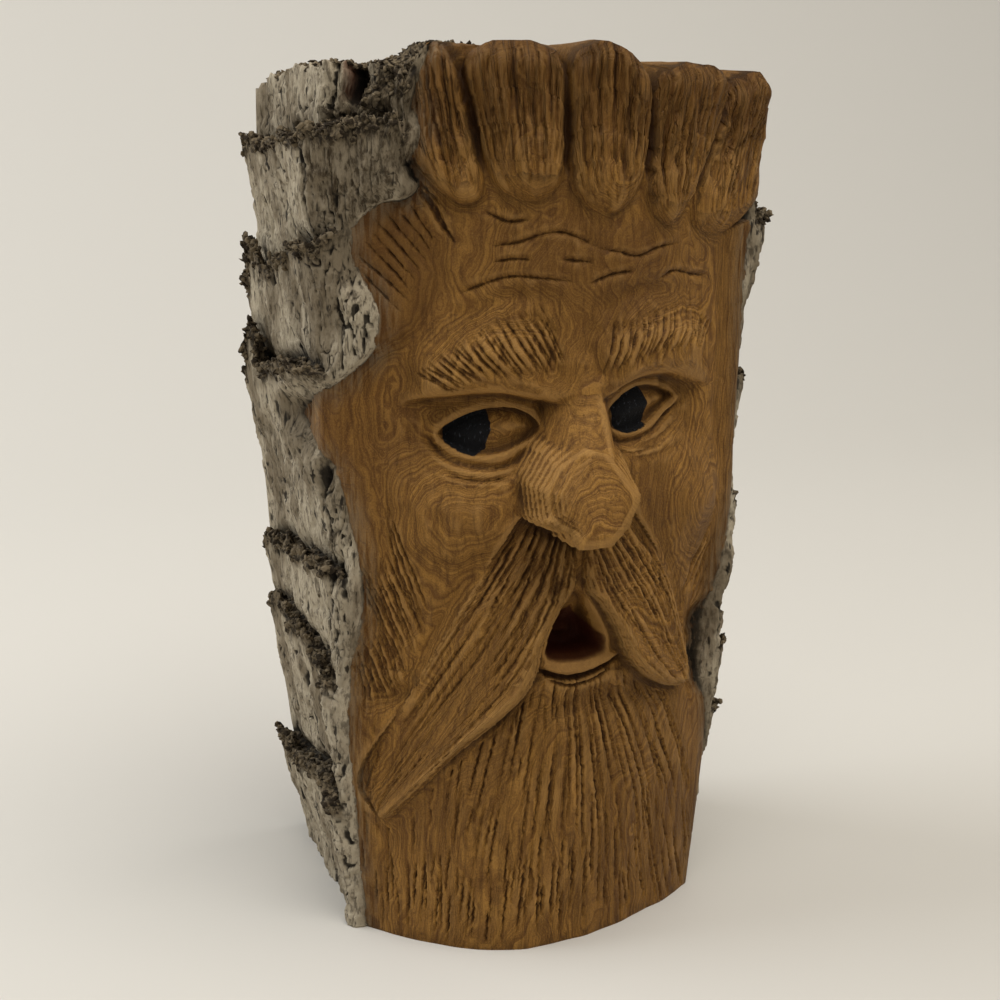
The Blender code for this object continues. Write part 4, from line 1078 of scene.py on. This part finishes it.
weathered = mixed(between_values(fibres, 0.35, 0.65), GREY_BARK, DARK_WOOD)
wood = mixed(between_values(growth, 0.36, 0.64, 0.05, 0.95), MIDDLE_WOOD, LIGHT_WOOD)
for share, colour in (
    (between_values(fibres, 0.46, 0.70, 0.0, 0.65), DARK_WOOD),
    (between_values(blotches, 0.42, 0.70, 0.0, 0.45), DARK_WOOD),
    # Dark flecks of the wood, then pale specks that are painted glints.
    (between_values(fleck_and_glint_noise, 0.48, 0.70, 0.0, 0.45), DARK_WOOD),
    (between_values(fleck_and_glint_noise, 0.46, 0.30, 0.0, 0.35), LIGHT_WOOD),
    (math("MULTIPLY", hair_lines, 0.25), DARK_WOOD),
    # Painted shade in the hollows and grooves, and a painted highlight on the ridges.
    (between_values(hollow_mm, 0.8, 5.0, 0.0, 0.70), PAINTED_GROOVE_SHADE),
    (between_values(cavity_mm, 0.10, 0.80, 0.0, 0.60), PAINTED_GROOVE_SHADE),
    (between_values(cavity_mm, -0.03, -0.40, 0.0, 0.48), PAINTED_RIDGE_HIGHLIGHT),
    (smoke_share, SMOKED_WOOD),
    # Painted shade in the knife cuts.
    (between_values(cut_shade_mm, 0.40, 1.40, 0.0, 0.75), PAINTED_GROOVE_SHADE),
    # Painted shade inside the deep mouth.
    (between_values(mouth_mm, -0.5, 0.4, 0.0, 0.92), PAINTED_MOUTH_SHADE),
    (between_values(in_bark_mm, -7.0, 0.0, 0.0, 0.50), weathered),
):
    wood = mixed(share, wood, colour)

mottle = bpy.data.node_groups.new("crumb_mottle", "ShaderNodeTree")
for name in ("Noise", "Pale at", "Dark at"):
    mottle.interface.new_socket(name=name, in_out="INPUT", socket_type="NodeSocketFloat")
mottle.interface.new_socket(name="Color", in_out="OUTPUT", socket_type="NodeSocketColor")
tree = mottle
given = tree.nodes.new("NodeGroupInput").outputs
made = tree.nodes.new("NodeGroupOutput").inputs
dark_share = between_values(given["Noise"], given["Pale at"], given["Dark at"])
feed(made["Color"], mixed(dark_share, CRUST_PALE, CRUST_DARK))
tree = finish.node_tree


def mottled(noise_value, pale_at, dark_at):
    """The colour of old crumbling bark, between pale and dark as a noise goes from one value to the other."""
    node = tree.nodes.new("ShaderNodeGroup")
    node.node_tree = mottle
    for socket, value in zip(node.inputs, (noise_value, pale_at, dark_at)):
        feed(socket, value)
    return node.outputs["Color"]


patches = pattern(60, (1, 1, 0.5), 4, 0.6)
grain = pattern(750, (1, 1, 0.35), 4, 0.65)
specks = pattern(520, (1, 1, 0.30), 2, 0.5)
# The facet at the top of the left side takes painted shade, broken up by the grain.
plane_edge = math("MULTIPLY_ADD", grain, 6.0, plane_mm)
shaded_facet_bark = mixed(between_values(grain, 0.40, 0.62), GREY_BARK, PAINTED_FACET_SHADE)
crumbs = mottled(grain, 0.40, 0.60)
bark = mixed(between_values(patches, 0.40, 0.56), GREY_BARK, PALE_BARK)
for share, colour in (
    (between_values(grain, 0.48, 0.66, 0.0, 0.70), DARK_BARK),
    (between_values(specks, 0.62, 0.70, 0.0, 0.9), PIT_AND_SHADE_BLACK),
    # Painted shade on the facet at the top of the left side.
    (between_values(plane_edge, 1.5, 4.5, 0.0, 0.85), shaded_facet_bark),
    (between_values(crust_share, 0.08, 0.38, 0.0, 0.95), crumbs),
    (between_values(red_share, 0.3, 0.8, 0.0, 0.9), RED_BARK),
    (between_values(pit_share, 0.2, 0.8, 0.0, 0.9), PIT_AND_SHADE_BLACK),
    # Painted shade in the bark's hollows.
    (between_values(cavity_mm, 0.15, 1.0, 0.0, 0.8), PIT_AND_SHADE_BLACK),
    (between_values(hollow_mm, 0.8, 3.0, 0.0, 0.6), PIT_AND_SHADE_BLACK),
):
    bark = mixed(share, bark, colour)

bark_edge = math("MULTIPLY_ADD", grain, 2.4, math("ADD", in_bark_mm, -1.2))
surface = mixed(between_values(bark_edge, -0.20, 0.20), wood, bark)
paint = mixed(between_values(flecks, 0.60, 0.74), PAINT_BLACK, PAINT_FLECK)
painted = between_values(pupil_mm, -0.08, 0.10)
surface = mixed(painted, surface, paint)
feed(shader.inputs["Base Color"], surface)

roughness = between_values(bark_edge, -0.12, 0.12, 0.60, 0.90)
roughness = math("ADD", roughness, math("MULTIPLY", painted, 0.12))
feed(shader.inputs["Roughness"], roughness)
shader.inputs["Specular IOR Level"].default_value = 0.2

ring_height = math("MULTIPLY", growth, between_values(calm_share, 0.2, 0.7, 0.25, 1.2))
wood_height = math("MULTIPLY_ADD", fibres, 0.7, ring_height)
wood_height = math("MULTIPLY_ADD", fleck_and_glint_noise, 0.5, wood_height)
wood_height = math("MULTIPLY_ADD", hair_lines, -2.2, wood_height)
bark_height = math("MULTIPLY_ADD", grain, 2.4, math("MULTIPLY", specks, -1.6))
height = tree.nodes.new("ShaderNodeMix")
feed(height.inputs["Factor"], between_values(bark_edge, -0.12, 0.12))
feed(height.inputs["A"], wood_height)
feed(height.inputs["B"], bark_height)
BUMP_HEIGHT = 0.0004
bump = tree.nodes.new("ShaderNodeBump")
bump.inputs["Strength"].default_value = 1.0
bump.inputs["Distance"].default_value = BUMP_HEIGHT
feed(bump.inputs["Height"], height.outputs["Result"])
feed(shader.inputs["Normal"], bump.outputs["Normal"])
solid.materials.append(finish)

# The crumbs
# Loose grains of old bark that cling to the lips and the broken top: small angular grains thrown on
# wherever the bark is crumbly, each turned and stretched its own way.
CRUMB_DENSITY = 0.45e6
CRUMB_SIZE = 0.0011
CRUMB_SEED = 5
FULL_TURN = 6.28
crumb_paint = bpy.data.materials.new("bark_crumb")
crumb_paint.use_nodes = True
tree = crumb_paint.node_tree
coordinates = tree.nodes.new("ShaderNodeTexCoord")
crumb_shader = tree.nodes["Principled BSDF"]
feed(crumb_shader.inputs["Base Color"], mottled(pattern(420, (1, 1, 1)), 0.60, 0.42))
crumb_shader.inputs["Roughness"].default_value = 0.9
crumb_shader.inputs["Specular IOR Level"].default_value = 0.15

scatter = bpy.data.node_groups.new("scatter_crumbs", "GeometryNodeTree")
for name, kind in (("Geometry", "Geometry"), ("Density", "Float"), ("Crumb size", "Float"), ("Seed", "Int")):
    scatter.interface.new_socket(name=name, in_out="INPUT", socket_type="NodeSocket" + kind)
scatter.interface.new_socket(name="Geometry", in_out="OUTPUT", socket_type="NodeSocketGeometry")
given = scatter.nodes.new("NodeGroupInput").outputs
made = scatter.nodes.new("NodeGroupOutput").inputs
crusted = scatter.nodes.new("GeometryNodeInputNamedAttribute")
crusted.data_type = "FLOAT"
crusted.inputs["Name"].default_value = "crust"
density = scatter.nodes.new("ShaderNodeMapRange")
density.inputs["From Min"].default_value = 0.25
density.inputs["From Max"].default_value = 0.75
spread = scatter.nodes.new("GeometryNodeDistributePointsOnFaces")
grain_mesh = scatter.nodes.new("GeometryNodeMeshIcoSphere")
grain_mesh.inputs["Subdivisions"].default_value = 1
turned = scatter.nodes.new("FunctionNodeRandomValue")
turned.data_type = "FLOAT_VECTOR"
turned.inputs["Max"].default_value = (FULL_TURN, FULL_TURN, FULL_TURN)
stretched = scatter.nodes.new("FunctionNodeRandomValue")
stretched.data_type = "FLOAT_VECTOR"
stretched.inputs["Min"].default_value = (0.25, 0.25, 0.35)
stretched.inputs["Max"].default_value = (1.0, 1.0, 1.5)
placed = scatter.nodes.new("GeometryNodeInstanceOnPoints")
real = scatter.nodes.new("GeometryNodeRealizeInstances")
painted_crumbs = scatter.nodes.new("GeometryNodeSetMaterial")
painted_crumbs.inputs["Material"].default_value = crumb_paint
for source, target in (
    (crusted.outputs["Attribute"], density.inputs["Value"]),
    (given["Density"], density.inputs["To Max"]),
    (given["Geometry"], spread.inputs["Mesh"]),
    (density.outputs["Result"], spread.inputs["Density"]),
    (given["Seed"], spread.inputs["Seed"]),
    (given["Seed"], turned.inputs["Seed"]),
    (given["Seed"], stretched.inputs["Seed"]),
    (given["Crumb size"], grain_mesh.inputs["Radius"]),
    (spread.outputs["Points"], placed.inputs["Points"]),
    (grain_mesh.outputs["Mesh"], placed.inputs["Instance"]),
    (turned.outputs["Value"], placed.inputs["Rotation"]),
    (stretched.outputs["Value"], placed.inputs["Scale"]),
    (placed.outputs["Instances"], real.inputs["Geometry"]),
    (real.outputs["Geometry"], painted_crumbs.inputs["Geometry"]),
    (painted_crumbs.outputs["Geometry"], made["Geometry"]),
):
    scatter.links.new(source, target)
bed = bpy.data.objects.new("bark_crumbs", solid.copy())
bpy.context.scene.collection.objects.link(bed)
thrown = bed.modifiers.new("crumbs", "NODES")
thrown.node_group = scatter
settings = {"Density": CRUMB_DENSITY, "Crumb size": CRUMB_SIZE, "Seed": CRUMB_SEED}
for socket in scatter.interface.items_tree:
    if socket.in_out == "INPUT" and socket.name in settings:
        thrown[socket.identifier] = settings[socket.name]
bed.data = bpy.data.meshes.new_from_object(bed.evaluated_get(bpy.context.evaluated_depsgraph_get()))
bed.modifiers.remove(thrown)
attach(bed, "root")

# The stage
# A plain pale floor that sweeps up behind, a broad soft light above, a cooler one at the left, and the
# camera of the photograph, which looks down on the carving from its left front.
FLOOR_COLOUR = (0.62, 0.595, 0.545, 1)
WALL_COLOUR = (0.80, 0.79, 0.76, 1)
ROOM_LIGHT = 0.36
SWEEP_START, SWEEP_RADIUS, SWEEP_TOP, SWEEP_SIDE = 0.45, 0.5, 3.0, 3.0
turn = np.linspace(0, np.pi / 2, 16)
sweep = np.r_[
    [[-SWEEP_SIDE, 0.0]],
    np.column_stack([SWEEP_START + SWEEP_RADIUS * np.sin(turn), SWEEP_RADIUS * (1 - np.cos(turn))]),
    [[SWEEP_START + SWEEP_RADIUS, SWEEP_TOP]],
]
floor_points = [(side, y, height) for y, height in sweep for side in (-SWEEP_SIDE, SWEEP_SIDE)]
floor_faces = [(2 * i, 2 * i + 1, 2 * i + 3, 2 * i + 2) for i in range(len(sweep) - 1)]
floor_mesh = bpy.data.meshes.new("floor")
floor_mesh.from_pydata(floor_points, [], floor_faces)
floor_mesh.shade_smooth()
floor = bpy.data.objects.new("floor", floor_mesh)
bpy.context.scene.collection.objects.link(floor)
floor_paint = bpy.data.materials.new("pale_floor")
floor_paint.use_nodes = True
floor_shader = floor_paint.node_tree.nodes["Principled BSDF"]
floor_shader.inputs["Base Color"].default_value = FLOOR_COLOUR
floor_shader.inputs["Roughness"].default_value = 0.75
floor_mesh.materials.append(floor_paint)

world = bpy.data.worlds.new("room")
world.use_nodes = True
room = world.node_tree.nodes["Background"]
room.inputs["Color"].default_value = WALL_COLOUR
room.inputs["Strength"].default_value = ROOM_LIGHT
bpy.context.scene.world = world


def soft_light(name, place, target, size, power, colour):
    """A rectangular light at a place, turned to a target."""
    lamp = bpy.data.lights.new(name, "AREA")
    lamp.shape = "RECTANGLE"
    lamp.size, lamp.size_y = size
    lamp.energy = power
    lamp.color = colour
    lit = bpy.data.objects.new(name, lamp)
    lit.location = place
    lit.rotation_euler = (Vector(target) - Vector(place)).to_track_quat("-Z", "Y").to_euler()
    bpy.context.scene.collection.objects.link(lit)


WINDOW_POWER, CEILING_POWER = 9.5, 15.0
COOL, WARM = (0.93, 0.96, 1.0), (1.0, 0.96, 0.90)
soft_light("window", (-0.9, 0.35, 0.9), (0, 0, 0.12), (0.9, 0.7), WINDOW_POWER, COOL)
soft_light("ceiling", (0.25, -0.35, 1.3), (0, 0, 0.1), (1.2, 1.0), CEILING_POWER, WARM)

CAMERA_PLACE = (-148.436, -516.038, 253.069)
CAMERA_TURN = (75.0, 0.0, -16.5)
CAMERA_LENS, SENSOR_WIDTH = 72.0, 36.0
lens = bpy.data.cameras.new("camera")
lens.lens, lens.sensor_width = CAMERA_LENS, SENSOR_WIDTH
camera = bpy.data.objects.new("camera", lens)
place = np.array(CAMERA_PLACE) * MM
camera.location = (place[0] - slab_centre[0], place[1] - slab_centre[1], place[2])
camera.rotation_euler = np.radians(CAMERA_TURN)
bpy.context.scene.collection.objects.link(camera)
bpy.context.scene.camera = camera
bpy.context.scene.view_settings.view_transform = "Standard"
